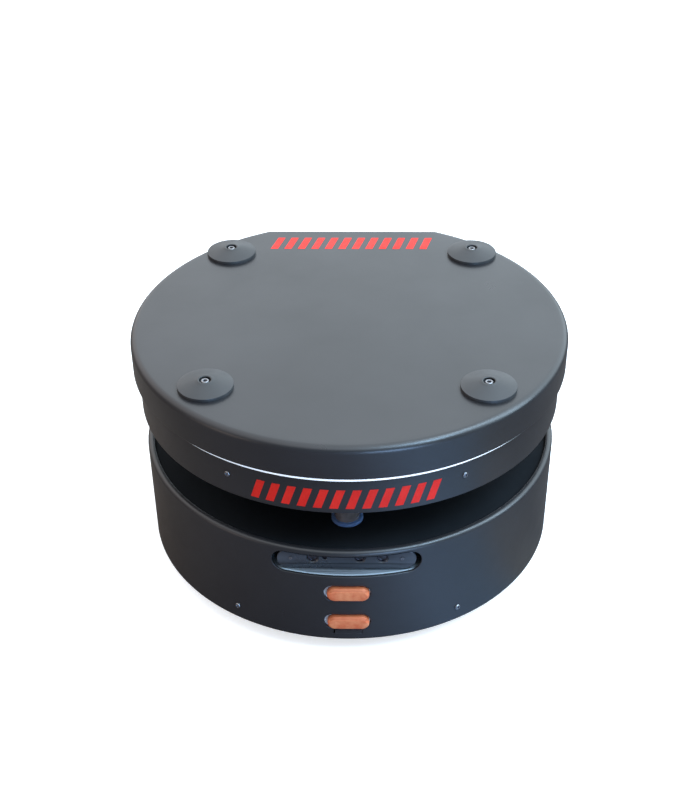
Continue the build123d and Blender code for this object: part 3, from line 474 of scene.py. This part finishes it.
BEZEL_GROOVE_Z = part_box("camera_bezel")[0].z + 7.1 * MM
BEZEL_GROOVE_HALF = 0.7 * MM
MATERIALS = {
    "black_paint": powder_coat("satin_black_paint", (0.011, 0.0105, 0.0115), 0.27, 0.40),
    "black_plate": powder_coat("matte_black_plate", (0.006, 0.0072, 0.0088), 0.45, 0.6, 0.03),
    "bare_aluminium": machined_metal("brushed_aluminium", (0.72, 0.73, 0.75), 0.25, 0.42),
    "steel_fasteners": machined_metal("blackened_steel", (0.26, 0.26, 0.275), 0.25, 0.4, (300, 300, 300)),
    "black_plastic": moulded_plastic("black_plastic", (0.016, 0.016, 0.017), 0.4, 0.55),
    "blue_anodised": moulded_plastic("blue_anodised", (0.075, 0.135, 0.27), 0.42, 0.55),
    "smoked_window": smoked_window(),
    "rotor_metal": machined_metal("rotor_aluminium", (0.55, 0.55, 0.56), 0.2, 0.35),
    "lens_glass": lens_glass(),
    "grey_plastic": moulded_plastic("light_grey_plastic", (0.50, 0.51, 0.53), 0.35, 0.5),
    "copper": copper(),
    "spring_steel": machined_metal("spring_wire", (0.6, 0.6, 0.61), 0.2, 0.35),
    "light_diffuser": light_diffuser(),
    "ground_steel": machined_metal("ground_steel", (0.62, 0.63, 0.65), 0.15, 0.3),
    "bronze": machined_metal("cast_bronze", (0.50, 0.33, 0.15), 0.35, 0.5, (120, 120, 120)),
    "belt_rubber": rubber("belt_rubber"),
    "motor_case": powder_coat("motor_enamel", (0.05, 0.05, 0.055), 0.35, 0.5),
    "tyre_rubber": rubber("tyre_rubber"),
    "castor_steel": machined_metal("zinc_plate", (0.52, 0.53, 0.54), 0.28, 0.45, (90, 90, 90)),
    "red_plastic": moulded_plastic("signal_red_plastic", (0.62, 0.02, 0.015), 0.2, 0.32),
    "yellow_plastic": moulded_plastic("signal_yellow_plastic", (0.85, 0.55, 0.02), 0.28, 0.4),
    "battery_case": moulded_plastic("battery_case", (0.05, 0.08, 0.13), 0.4, 0.55),
    "cable_sheath": rubber("cable_sheath"),
}
RED_VINYL = red_vinyl()
SHELF = shelf_plastic()
BEZEL = bezel_plastic()


def dress_cad_nodes():
    """Every CAD node takes the procedural material of its slot."""
    for entry in frame["record"]["subparts"]:
        piece = nodes[entry["node"]]
        piece.data.materials.clear()
        is_shelf = entry["node"] == "camera_shelf"
        piece.data.materials.append(SHELF if is_shelf else MATERIALS[entry["material_slot"]])


# ------------------------------------------------------------------ tiers

BODY_CORNER = 6 * MM                        # round of the upright edges beside the flat back
LID_CORNER = 8 * MM


def build_lid():
    """A shallow pan turned over, with a broad round along its top edge."""
    top_round = 8 * MM
    wall = 4 * MM
    foot_round = 1 * MM
    under = LID_HIGH.z - 5 * MM
    section = [(wall, under), (wall, LID_LOW.z + foot_round)]
    section += rounded(wall - foot_round, LID_LOW.z, foot_round, LID_LOW.z, 1, True)
    section += rounded(foot_round, LID_LOW.z, 0, LID_LOW.z + 1.2 * MM, 4, True)
    section += rounded(0, LID_HIGH.z - top_round, top_round, LID_HIGH.z, 12, False)
    section += [(top_round + step * MM, LID_HIGH.z) for step in (4, 20, 60, 120)]
    loops = [tier_outline(LID_R, LID_FLAT, LID_CORNER, inset, z) for inset, z in section]
    lid = loft("lid_pan", loops, cap_first=True, cap_last=True)
    finish_piece(lid, "lift", "black_paint", "lid")


def build_head_ring():
    """The band under the lid, rounded below and slightly eased above."""
    wall = 3 * MM
    bottom_round = 1.5 * MM
    inner_ease = 0.6 * MM
    top_ease = 0.4 * MM
    section = [(wall, RING_HIGH.z), (wall, RING_LOW.z + inner_ease)]
    section += rounded(wall - inner_ease, RING_LOW.z, bottom_round, RING_LOW.z, 1, True)
    section += rounded(bottom_round, RING_LOW.z, 0, RING_LOW.z + bottom_round, 6, True)
    section += [(0, RING_HIGH.z - top_ease), (top_ease, RING_HIGH.z)]
    loops = [tier_outline(RING_R, RING_FLAT, BODY_CORNER, inset, z) for inset, z in section]
    ring = loft("head_band", loops, wrap=True)
    finish_piece(ring, "base", "black_paint", "head_ring")


def build_light_ring():
    """The milky ring between the band and the lid, stepped to sit in the band."""
    spigot_inset = 3.2 * MM
    wall = 5.4 * MM
    shoulder = RING_HIGH.z + 0.1 * MM
    edge = 0.8 * MM
    section = [(spigot_inset, LIGHT_LOW.z), (spigot_inset, shoulder), (0, shoulder)]
    section += rounded(0, LIGHT_HIGH.z - edge, edge, LIGHT_HIGH.z, 4, False)
    section += [(wall, LIGHT_HIGH.z), (wall, LIGHT_LOW.z)]
    flat = LIGHT_HIGH.y - AXIS_Y
    loops = [tier_outline(LIGHT_R, flat, BODY_CORNER, inset, z) for inset, z in section]
    ring = loft("light_guide", loops, wrap=True)
    finish_piece(ring, "base", "light_diffuser", "light_ring")


# ------------------------------------------------------------------ lower shell with its openings

SHELL_WALL = 3 * MM
SHELL_FLAT = SHELL_HIGH.y - AXIS_Y
# centre x, centre z, length, height, corner radius and edge rounding of each opening in front, in mm
SLOTS = [(0, 127.75, 161, 28.5, 14.25, 0.8), (0.5, 89.8, 51, 21.5, 10.75, 0.8),
         (0.5, 48.3, 51, 21.5, 10.75, 0.7), (1, 33.05, 32, 6.1, 0.5, 0.4)]
# heights of the opening behind the rear panel
WINDOW = (46 * MM, 124 * MM)
# points of shell_outline that span that opening, and those that span the pierced front
WINDOW_POINTS = range(336, 365)
FRONT_POINTS = range(136, 185)


def slot_loop(slot, grow):
    """The edge of an opening, made larger all round by grow, as (x, z) pairs."""
    x, z, length, height, corner, _ = [value * MM for value in slot]
    return [(x + u, z + v) for u, v in rounded_loop(length, height, corner, grow)]


def beyond_slot(slot, x, z):
    """Distance of a place outside the edge of a slot, negative inside it."""
    centre_x, centre_z, length, height, corner, _ = [value * MM for value in slot]
    over_x = abs(x - centre_x) - (length / 2 - corner)
    over_z = abs(z - centre_z) - (height / 2 - corner)
    return math.hypot(max(over_x, 0), max(over_z, 0)) + min(max(over_x, over_z), 0) - corner


def on_wall(points, radius):
    """Places on the front of a cylinder, from (x, z) pairs."""
    return [(x, AXIS_Y - math.sqrt(radius * radius - x * x), z) for x, z in points]


def front_patch(columns, radius, heights, is_outer):
    """The front of a cylinder wall, pierced by the slots, as vertices and faces."""
    z_low, z_high = heights[0], heights[-1]
    growths = [slot[-1] * MM if is_outer else 0 for slot in SLOTS]
    flat_points = []
    edges = []
    for slot, grow in zip(SLOTS, growths):
        loop = slot_loop(slot, grow)
        first = len(flat_points)
        edges += [(first + i, first + (i + 1) % len(loop)) for i in range(len(loop))]
        flat_points += loop

    def clear_of_slots(x, z, margin):
        return all(beyond_slot(slot, x, z) > grow + margin for slot, grow in zip(SLOTS, growths))

    rows = 16
    for x in (columns[0], columns[-1]):
        flat_points += [(x, z) for z in heights]
    for x in columns[1:-1]:
        flat_points += [(x, z_low), (x, z_high)]
        inner_rows = [z_low + (z_high - z_low) * row / rows for row in range(1, rows)]
        flat_points += [(x, z) for z in inner_rows if clear_of_slots(x, z, 1.2 * MM)]

    unrolled = [Vector((radius * math.asin(x / radius), z)) for x, z in flat_points]
    result = geometry.delaunay_2d_cdt(unrolled, edges, [], 0, 1e-7)
    vertices = []
    for u, z in result[0]:
        angle = u / radius
        vertices.append((radius * math.sin(angle), AXIS_Y - radius * math.cos(angle), z))
    faces = []
    for face in result[2]:
        x = sum(vertices[i][0] for i in face) / 3
        z = sum(vertices[i][2] for i in face) / 3
        if clear_of_slots(x, z, 0):
            faces.append(tuple(face))
    return vertices, faces


def strip_between(loop_a, loop_b):
    """Quads between two loops with the same number of points, as vertices and faces."""
    count = len(loop_a)
    faces = [(i, (i + 1) % count, count + (i + 1) % count, count + i) for i in range(count)]
    return loop_a + loop_b, faces


class Skin:
    """Vertices and faces gathered patch by patch, then welded into one piece."""

    def __init__(self):
        self.vertices = []
        self.faces = []

    def add(self, vertices, faces):
        first = len(self.vertices)
        self.vertices += vertices
        self.faces += [tuple(first + i for i in face) for face in faces]

    def welded(self, name):
        piece = new_object(name, self.vertices, self.faces)
        mesh = bmesh.new()
        mesh.from_mesh(piece.data)
        bmesh.ops.remove_doubles(mesh, verts=mesh.verts, dist=0.005 * MM)
        bmesh.ops.recalc_face_normals(mesh, faces=mesh.faces)
        mesh.to_mesh(piece.data)
        mesh.free()
        piece.data.set_sharp_from_angle(angle=CREASE)
        return piece


def shell_outline(inset, z):
    """A loop round the lower body."""
    return tier_outline(SHELL_R, SHELL_FLAT, BODY_CORNER, inset, z)


def add_lip(skin, wall_top, inner_top):
    """The rolled rim round the top of the shell."""
    outer_round = SHELL_HIGH.z - wall_top
    inner_round = 2 * MM
    width = 8 * MM
    top = SHELL_HIGH.z
    section = rounded(0, wall_top, outer_round, top, 8, False)
    section += rounded(width - inner_round, top, width, top - inner_round, 5, True)
    section += [(width, inner_top), (SHELL_WALL, inner_top)]
    loops = [shell_outline(inset, z) for inset, z in section]
    for loop, following in zip(loops, loops[1:]):
        skin.add(*strip_between(loop, following))


def add_wall(skin, inset, heights, is_outer):
    """One face of the wall all the way round, with its openings left out."""
    front = FRONT_POINTS[:-1]
    window = WINDOW_POINTS[:-1]
    for low, high in zip(heights, heights[1:]):
        strip, quads = strip_between(shell_outline(inset, low), shell_outline(inset, high))
        left_out = set(front) | set(window) if low == WINDOW[0] else set(front)
        skin.add(strip, [quad for quad in quads if quad[0] not in left_out])
    outline = shell_outline(inset, heights[0])
    columns = [outline[i][0] for i in FRONT_POINTS]
    skin.add(*front_patch(columns, SHELL_R - inset, heights, is_outer))


def add_opening_edges(skin):
    """Rolled edges and straight walls of the slots, and the edge of the window behind."""
    steps = 5
    for slot in SLOTS:
        edge_round = slot[-1] * MM
        rings = []
        for step in range(steps + 1):
            turn = math.pi / 2 * step / steps
            grow = edge_round * (1 - math.sin(turn))
            sunk = edge_round * (1 - math.cos(turn))
            rings.append(on_wall(slot_loop(slot, grow), SHELL_R - sunk))
        rings.append(on_wall(slot_loop(slot, 0), SHELL_R - SHELL_WALL))
        for ring, following in zip(rings, rings[1:]):
            skin.add(*strip_between(ring, following))
    frames = []
    for inset in (0, SHELL_WALL):
        low = [shell_outline(inset, WINDOW[0])[i] for i in WINDOW_POINTS]
        high = [shell_outline(inset, WINDOW[1])[i] for i in WINDOW_POINTS]
        frames.append(low + high[::-1])
    skin.add(*strip_between(*frames))


def build_shell():
    """The lower body: a rolled rim at the top, rounded slots in front and a window behind."""
    bottom = SHELL_LOW.z
    wall_top = SHELL_HIGH.z - 5 * MM
    inner_top = SHELL_HIGH.z - 6 * MM
    skin = Skin()
    add_lip(skin, wall_top, inner_top)
    add_wall(skin, 0, [bottom, *WINDOW, wall_top], True)
    add_wall(skin, SHELL_WALL, [bottom, *WINDOW, inner_top], False)
    skin.add(*strip_between(shell_outline(SHELL_WALL, bottom), shell_outline(0, bottom)))
    add_opening_edges(skin)
    finish_piece(skin.welded("shell_wall"), "base", "black_paint", "lower_shell")


# ------------------------------------------------------------------ on the lid

CONE_R = 30 * MM


def cone_places():
    """Middles of the four cones on the lid."""
    low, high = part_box("locating_cones")
    return [Vector((x, y, LID_HIGH.z)) for x in (low.x + CONE_R, high.x - CONE_R)
            for y in (low.y + CONE_R, high.y - CONE_R)]


def build_cones():
    """Four low cones with a dished top, each with a socket screw in the dish."""
    cone = [(2.8, -0.5), (29.8, -0.5), (30, -0.3), (30, 3.65), (29.9, 3.85), (29.6, 3.95),
            (20, 6.35), (12, 8.35), (8.6, 9.15), (8.2, 9.38), (7.4, 9.4), (6.8, 9.35), (6.4, 9.0),
            (6.4, 5.4), (2.8, 5.4)]
    screw = [(0, -22), (2.5, -22), (2.5, 5.4), (4.4, 5.4), (4.4, 7.6), (4.2, 8.1), (3.8, 8.4), (3.0, 8.4),
             (hexagon(2.4), 8.3), (hexagon(2.2), 8.1), (hexagon(2.2), 5.8), (0, 5.5)]
    for number, place in enumerate(cone_places(), 1):
        finish_piece(lathe(f"cone_{number}", cone, place, turns=144), "lift", "black_plastic",
                     "locating_cones")
        finish_piece(lathe(f"cone_screw_{number}", screw, place), "lift", "steel_fasteners",
                     "cone_screws")


# degrees round from the front, three screws to each side
SCREW_ANGLES = [side * (30.5 + 57.5 * step) for side in (-1, 1) for step in range(3)]
SCREW_HEAD_R = 3.4


def build_wall_screws():
    """Round-headed screws with dark hexagon sockets, set round the shell and the head ring."""
    profile = [(0, -4.5), (1.95, -4.5), (1.95, 0.02), (SCREW_HEAD_R, 0.02), (3.38, 0.5), (3.1, 1.1),
               (2.6, 1.55), (2.2, 1.7), (hexagon(1.75), 1.62), (hexagon(1.7), 1.5), (hexagon(1.7), 0.5),
               (0, 0.45)]
    low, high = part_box("shell_screws")
    tiers = (("shell", SHELL_R, low.z + SCREW_HEAD_R * MM), ("head", RING_R, high.z - SCREW_HEAD_R * MM))
    for tier, radius, z in tiers:
        for number, degrees in enumerate(SCREW_ANGLES, 1):
            screw = lathe(f"{tier}_screw_{number}", profile, (0, 0, 0), "X", 48)
            turn = Matrix.Rotation(math.radians(degrees - 90), 4, "Z")
            shift = Matrix.Translation((0, AXIS_Y, z))
            screw.data.transform(shift @ turn @ Matrix.Translation((radius, 0, 0)))
            finish_piece(screw, "base", "steel_fasteners", "shell_screws")


# ------------------------------------------------------------------ scanner and camera

def build_scanner():
    """The domed window of the laser scanner on its collar."""
    place = centre("lidar_window")
    place.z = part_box("lidar_window")[0].z
    window = [(0, 42.8), (12.5, 42.8), (12.5, 0), (14, 0), (14, 43.8), (13.7, 45.2), (12.9, 46.2),
              (11.6, 46.7), (10, 46.8), (0, 46.8)]
    finish_piece(lathe("scanner_window", window, place), "base", "smoked_window", "lidar_window")
    place.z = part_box("lidar_collar")[0].z
    collar = [(9.6, 0), (17.4, 0), (17.5, 0.1), (17.5, 5.6), (17.2, 6.3), (16.5, 6.6), (9.6, 6.6)]
    finish_piece(lathe("scanner_collar", collar, place), "base", "blue_anodised", "lidar_collar")


LENS_XS = (-36.5 * MM, 14 * MM, 38.5 * MM)
PROJECTOR_X = -23.5 * MM
# mouth and bore radius of the holes in front of the lenses and of the projector
LENS_HOLE = (7.2 * MM, 6 * MM)
PROJECTOR_HOLE = (2.9 * MM, 2.5 * MM)
BEZEL_THICKNESS = 3 * MM
HOLE_POINTS = 48


def circle(x, z, radius):
    """Points round a hole, as (x, z) pairs."""
    return arc_points(x, z, radius, 0, 2 * math.pi, HOLE_POINTS)


def build_bezel():
    """A plate with a rolled border, pierced by the countersunk lens holes."""
    low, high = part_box("camera_bezel")
    level = centre("camera_lenses").z
    middle_z = SLOTS[0][1] * MM
    border = 1.2 * MM

    def outline(inset, depth):
        loop = rounded_loop(high.x - low.x, 2 * (middle_z - low.z), middle_z - low.z, -inset)
        return [(x, low.y + depth, min(z + middle_z, high.z - inset)) for x, z in loop]

    holes = [(x, *LENS_HOLE) for x in LENS_XS] + [(PROJECTOR_X, *PROJECTOR_HOLE)]
    skin = Skin()
    points = [(x, z) for x, _, z in outline(border, 0)]
    edges = [(i, (i + 1) % len(points)) for i in range(len(points))]
    for x, mouth, _ in holes:
        first = len(points)
        points += circle(x, level, mouth)
        edges += [(first + i, first + (i + 1) % HOLE_POINTS) for i in range(HOLE_POINTS)]
    result = geometry.delaunay_2d_cdt([Vector(point) for point in points], edges, [], 1, 1e-7)
    face_points = [(x, low.y, z) for x, z in result[0]]

    def is_solid(face):
        x = sum(face_points[i][0] for i in face) / len(face)
        z = sum(face_points[i][2] for i in face) / len(face)
        return all(math.hypot(x - hole_x, z - level) > mouth for hole_x, mouth, _ in holes)

    skin.add(face_points, [tuple(face) for face in result[2] if is_solid(face)])
    loops = [outline(inset, depth) for inset, depth in
             ((border, 0), (0.7 * MM, 0.12 * MM), (0.3 * MM, 0.4 * MM), (0, border), (0, BEZEL_THICKNESS))]
    for loop, following in zip(loops, loops[1:]):
        skin.add(*strip_between(loop, following))
    skin.add(loops[-1], [tuple(range(len(loops[-1])))])
    for x, mouth, bore in holes:
        rings = [[(u, low.y + depth, v) for u, v in circle(x, level, radius)]
                 for radius, depth in ((mouth, 0), (bore, mouth - bore), (bore, BEZEL_THICKNESS))]
        for ring, following in zip(rings, rings[1:]):
            skin.add(*strip_between(ring, following))
    plate = skin.welded("bezel_plate")
    finish_piece(plate, "base", "black_plastic", "camera_bezel")
    plate.data.materials[0] = BEZEL


def build_lenses():
    """Three hollow-faced lenses and the small pattern projector behind the bezel."""
    lens = [(0, 1.8), (5.8, 1.8), (5.8, 0.2), (5.6, 0), (5.0, 0), (4.6, 1.1), (4.2, 1.3), (3.4, 1.15),
            (2.4, 0.95), (1.2, 0.8), (0, 0.75)]
    projector = [(0, 1.8), (2.4, 1.8), (2.4, 0.15), (2.2, 0), (1.8, 0), (1.5, 0.9), (0, 1.0)]
    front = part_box("camera_lenses")[0].y
    level = centre("camera_lenses").z
    glasses = [(f"lens_{number}", x, lens) for number, x in enumerate(LENS_XS, 1)]
    glasses.append(("pattern_projector", PROJECTOR_X, projector))
    for name, x, profile in glasses:
        piece = lathe(name, profile, (x, front, level), "Y", 64)
        finish_piece(piece, "base", "lens_glass", "camera_lenses")


# ------------------------------------------------------------------ charging contacts

CONTACT_LENGTH = 46 * MM
CONTACT_HEIGHT = 17.5 * MM


def build_contact(node):
    """A copper shoe with a broad bevel round its face, and a flange that holds it in."""
    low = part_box(node)[0]
    middle = centre(node)
    section = [(-6, 0), (-2.5, 0), (-2.15, 0.1), (-1.8, 0.4), (-0.35, 1.85), (-0.1, 2.2), (0, 2.7),
               (0, 22.1), (2.5, 22.1), (2.5, 25)]
    loops = []
    for grow, depth in section:
        outline = rounded_loop(CONTACT_LENGTH, CONTACT_HEIGHT, CONTACT_HEIGHT / 2, grow * MM)
        loops.append([(middle.x + u, low.y + depth * MM, middle.z + v) for u, v in outline])
    shoe = loft(f"{node}_shoe", loops, cap_first=True, cap_last=True)
    finish_piece(shoe, node, "copper", node)


# ------------------------------------------------------------------ rear panel

def build_estop():
    """The mushroom button and its collar; heights run inward from each outer face."""
    button = [(0, 0), (5, -0.1), (9.5, -0.4), (12.4, -1.1), (14.1, -2.3), (14.9, -4), (15, -5.5),
              (15, -8.3), (14.6, -9), (8, -9), (8, -28), (0, -28)]
    place = centre("estop_button")
    place.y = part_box("estop_button")[1].y
    finish_piece(lathe("mushroom_button", button, place, "Y"), "estop_button", "red_plastic",
                 "estop_button")
    collar = [(8.2, 0), (15.6, 0), (16.6, -0.4), (17, -1.3), (17, -3.5), (10, -3.5), (10, -25.5),
              (8.2, -25.5)]
    place.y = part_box("estop_collar")[1].y
    finish_piece(lathe("button_collar", collar, place, "Y"), "base", "yellow_plastic", "estop_collar")


# ------------------------------------------------------------------ running gear

TREAD_NOTCHES = 48
NOTCH_SHARE = 0.34                          # of the pitch from notch to notch


def notched(radius, depth):
    """A radius cut down at evenly spaced notches, as a function of angle."""
    def reach(angle):
        along_pitch = (angle * TREAD_NOTCHES / (2 * math.pi)) % 1
        return radius - depth if along_pitch < NOTCH_SHARE else radius
    return reach


def build_tyres():
    """Two tyres with notched shoulders and a groove round each side of the middle."""
    half = [(47, 15), (52.5, 15), (54.2, 14.4), (notched(54.9, 1.5), 12.6), (notched(55, 1.5), 6.2),
            (55, 5.8), (53.5, 5.6), (53.5, 4.4), (55, 4.2), (55, 0.5)]
    profile = half + [(radius, -height) for radius, height in reversed(half)]
    for side in ("left", "right"):
        piece = lathe(f"{side}_tread", profile, centre(f"{side}_tyre"), "X", 288)
        finish_piece(piece, f"{side}_wheel", "tyre_rubber", f"{side}_tyre")


def build_castor_wheels():
    """Four small rollers with dished faces and rounded treads."""
    half = [(4.1, 10), (7, 10), (7.6, 9.2), (15, 8.6), (15.6, 10), (17, 10), (18.8, 9.3),
            (19.8, 7.8), (20, 6)]
    profile = half + [(radius, -height) for radius, height in reversed(half)]
    for corner in ("front_left", "rear_left", "front_right", "rear_right"):
        node = f"{corner}_castor_wheel"
        piece = lathe(f"{corner}_roller", profile, centre(node), "X", 72)
        finish_piece(piece, node, "tyre_rubber", node)


# ------------------------------------------------------------------ plain red decoration

def stripe_row(name, body, on_surface, low, high):
    """A row of plain slanted bars of thin red film."""
    proud = 0.15 * MM
    sunk = -0.05 * MM
    pitch = 17 * MM
    width = 9 * MM
    slant = 8 * MM
    count = 12
    columns = 4
    for number in range(count):
        left = (number - count / 2) * pitch
        loops = []
        for column in range(columns + 1):
            u = left + width * column / columns
            loops.append([on_surface(u, low, proud), on_surface(u + slant, high, proud),
                          on_surface(u + slant, high, sunk), on_surface(u, low, sunk)])
        bar = loft(f"{name}_{number + 1}", loops, cap_first=True, cap_last=True)
        bar.data.materials.append(RED_VINYL)
        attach(bar, body)


def on_band(u, z, lift):
    """A place on the band: u runs round its front, lift stands off it."""
    angle = u / RING_R
    radius = RING_R + lift
    return (radius * math.sin(angle), AXIS_Y - radius * math.cos(angle), z)


def on_lid(u, v, lift):
    """A place on the lid: v runs back from the axis, lift stands off it."""
    return (u, AXIS_Y + v, LID_HIGH.z + lift)


# ------------------------------------------------------------------ studio

def build_camera():
    """The viewing angle, distance and lens that match the reference view."""
    stand_off = Vector((28.2, -1268.3, 757.9)) * MM
    look = Vector((-0.01824, 0.82432, -0.56583))
    data = bpy.data.cameras.new("camera")
    data.lens = 57.77
    data.sensor_width = 36
    camera = bpy.data.objects.new("camera", data)
    camera.location = Vector((0, AXIS_Y, LID_HIGH.z)) + stand_off
    camera.rotation_mode = "QUATERNION"
    roll = Matrix.Rotation(math.radians(-0.488), 3, "Z").to_quaternion()
    camera.rotation_quaternion = look.to_track_quat("-Z", "Y") @ roll
    bpy.context.scene.collection.objects.link(camera)
    bpy.context.scene.camera = camera


def bounce_colour(paper):
    """What the floor throws back at the object: brown on the left, blue to the right of the front."""
    place = split(paper.tree, paper.place)
    forward = calculate(paper.tree, "MULTIPLY", place["Y"], -1)
    bearing = calculate(paper.tree, "ARCTAN2", place["X"], forward)
    quarter = math.pi / 2
    position = map_range(paper.tree, bearing, -quarter, quarter, 0, 1)
    return paper.colour_steps(position, [
        (0.05, (0.15, 0.122, 0.105)), (0.28, (0.15, 0.120, 0.110)), (0.50, (0.165, 0.145, 0.155)),
        (0.66, (0.30, 0.37, 0.49)), (0.77, (0.20, 0.245, 0.31)), (0.85, (0.19, 0.155, 0.13)),
        (0.95, (0.095, 0.078, 0.07))])


def build_floor():
    """A pale floor that looks bright to the camera but throws little light back up at the object."""
    side = 20.0
    level = -0.3 * MM
    shown_grey = (0.7, 0.7, 0.7)
    shown_glow = 0.62
    corners = [(-side, -side, level), (side, -side, level), (side, side, level), (-side, side, level)]
    floor = new_object("floor", corners, [(0, 1, 2, 3)], smooth=False)
    paper = Surface("pale_floor", (0.9, 0.9, 0.9), 0.9, specular=0.1)
    seen = paper.tree.nodes.new("ShaderNodeLightPath").outputs["Is Camera Ray"]
    paper.drive("Base Color", paper.mixed(seen, bounce_colour(paper), shown_grey))
    paper.set("Emission Color", (1, 1, 1, 1))
    paper.drive("Emission Strength", map_range(paper.tree, seen, 0, 1, 0, shown_glow))
    floor.data.materials.append(paper.material)


def dome_strength(tree, parts):
    """Brightness climbs with height, sooner behind than in front, and from left to right."""
    lean = calculate(tree, "ADD", calculate(tree, "MULTIPLY", parts["Y"], 0.5), parts["Z"])
    height = map_range(tree, lean, 0.1, 0.62, 0.30, 2.6, smooth=True)
    side = map_range(tree, parts["X"], -1, 1, 0.55, 1.35)
    return calculate(tree, "MULTIPLY", height, side)


def dome_tint(tree, parts):
    """Warm on the left, cool in the middle and on the right."""
    tint = tree.nodes.new("ShaderNodeValToRGB")
    tint.color_ramp.elements[0].color = (1.0, 0.90, 0.86, 1)
    tint.color_ramp.elements[1].color = (0.74, 0.90, 1.0, 1)
    middle = tint.color_ramp.elements.new(0.5)
    middle.color = (0.82, 0.92, 1.0, 1)
    tree.links.new(map_range(tree, parts["X"], -1, 1, 0, 1), tint.inputs["Fac"])
    return tint.outputs["Color"]


def build_world():
    """A soft studio dome for the object, and plain white for the camera itself."""
    world = bpy.data.worlds.new("studio")
    bpy.context.scene.world = world
    world.use_nodes = True
    tree = world.node_tree
    background = tree.nodes["Background"]
    parts = split(tree, tree.nodes.new("ShaderNodeTexCoord").outputs["Generated"])
    tree.links.new(dome_strength(tree, parts), background.inputs["Strength"])
    tree.links.new(dome_tint(tree, parts), background.inputs["Color"])
    white = tree.nodes.new("ShaderNodeBackground")
    white.inputs["Color"].default_value = (1, 1, 1, 1)
    seen = tree.nodes.new("ShaderNodeLightPath").outputs["Is Camera Ray"]
    either = tree.nodes.new("ShaderNodeMixShader")
    tree.links.new(seen, either.inputs[0])
    tree.links.new(background.outputs["Background"], either.inputs[1])
    tree.links.new(white.outputs["Background"], either.inputs[2])
    tree.links.new(either.outputs["Shader"], tree.nodes["World Output"].inputs["Surface"])


def area_light(name, place, target, width, height, power, colour):
    """A rectangular lamp at a place, turned to a target."""
    data = bpy.data.lights.new(name, "AREA")
    data.shape = "RECTANGLE"
    data.size = width
    data.size_y = height
    data.energy = power
    data.color = colour
    light = bpy.data.objects.new(name, data)
    light.location = place
    light.rotation_mode = "QUATERNION"
    light.rotation_quaternion = (Vector(target) - Vector(place)).to_track_quat("-Z", "Y")
    bpy.context.scene.collection.objects.link(light)


dress_cad_nodes()
build_lid()
build_head_ring()
build_light_ring()
build_shell()
build_cones()
build_wall_screws()
build_scanner()
build_bezel()
build_lenses()
for contact_node in ("upper_contact", "lower_contact"):
    build_contact(contact_node)
build_estop()
build_tyres()
build_castor_wheels()
stripe_row("band_stripe", "base", on_band, 209 * MM, 233 * MM)
stripe_row("lid_stripe", "lift", on_lid, 172 * MM, 202 * MM)
build_camera()
build_floor()
build_world()
area_light("strip", (1.5, -0.15, 1.5), (0, 0, 0.2), 0.45, 2.3, 40, (0.58, 0.80, 1.0))
area_light("window", (0.85, -0.85, 1.75), (0, 0, 0.2), 0.6, 0.6, 25, (0.42, 0.70, 1.0))
area_light("front_fill", (0.75, -2.0, 0.35), (0.05, -0.2, 0.12), 0.7, 0.5, 22, (0.36, 0.60, 1.0))
area_light("left_fill", (-1.9, -1.2, 0.5), (0, -0.1, 0.12), 0.9, 0.6, 4, (1.0, 0.80, 0.68))
bpy.context.scene.view_settings.view_transform = "Standard"
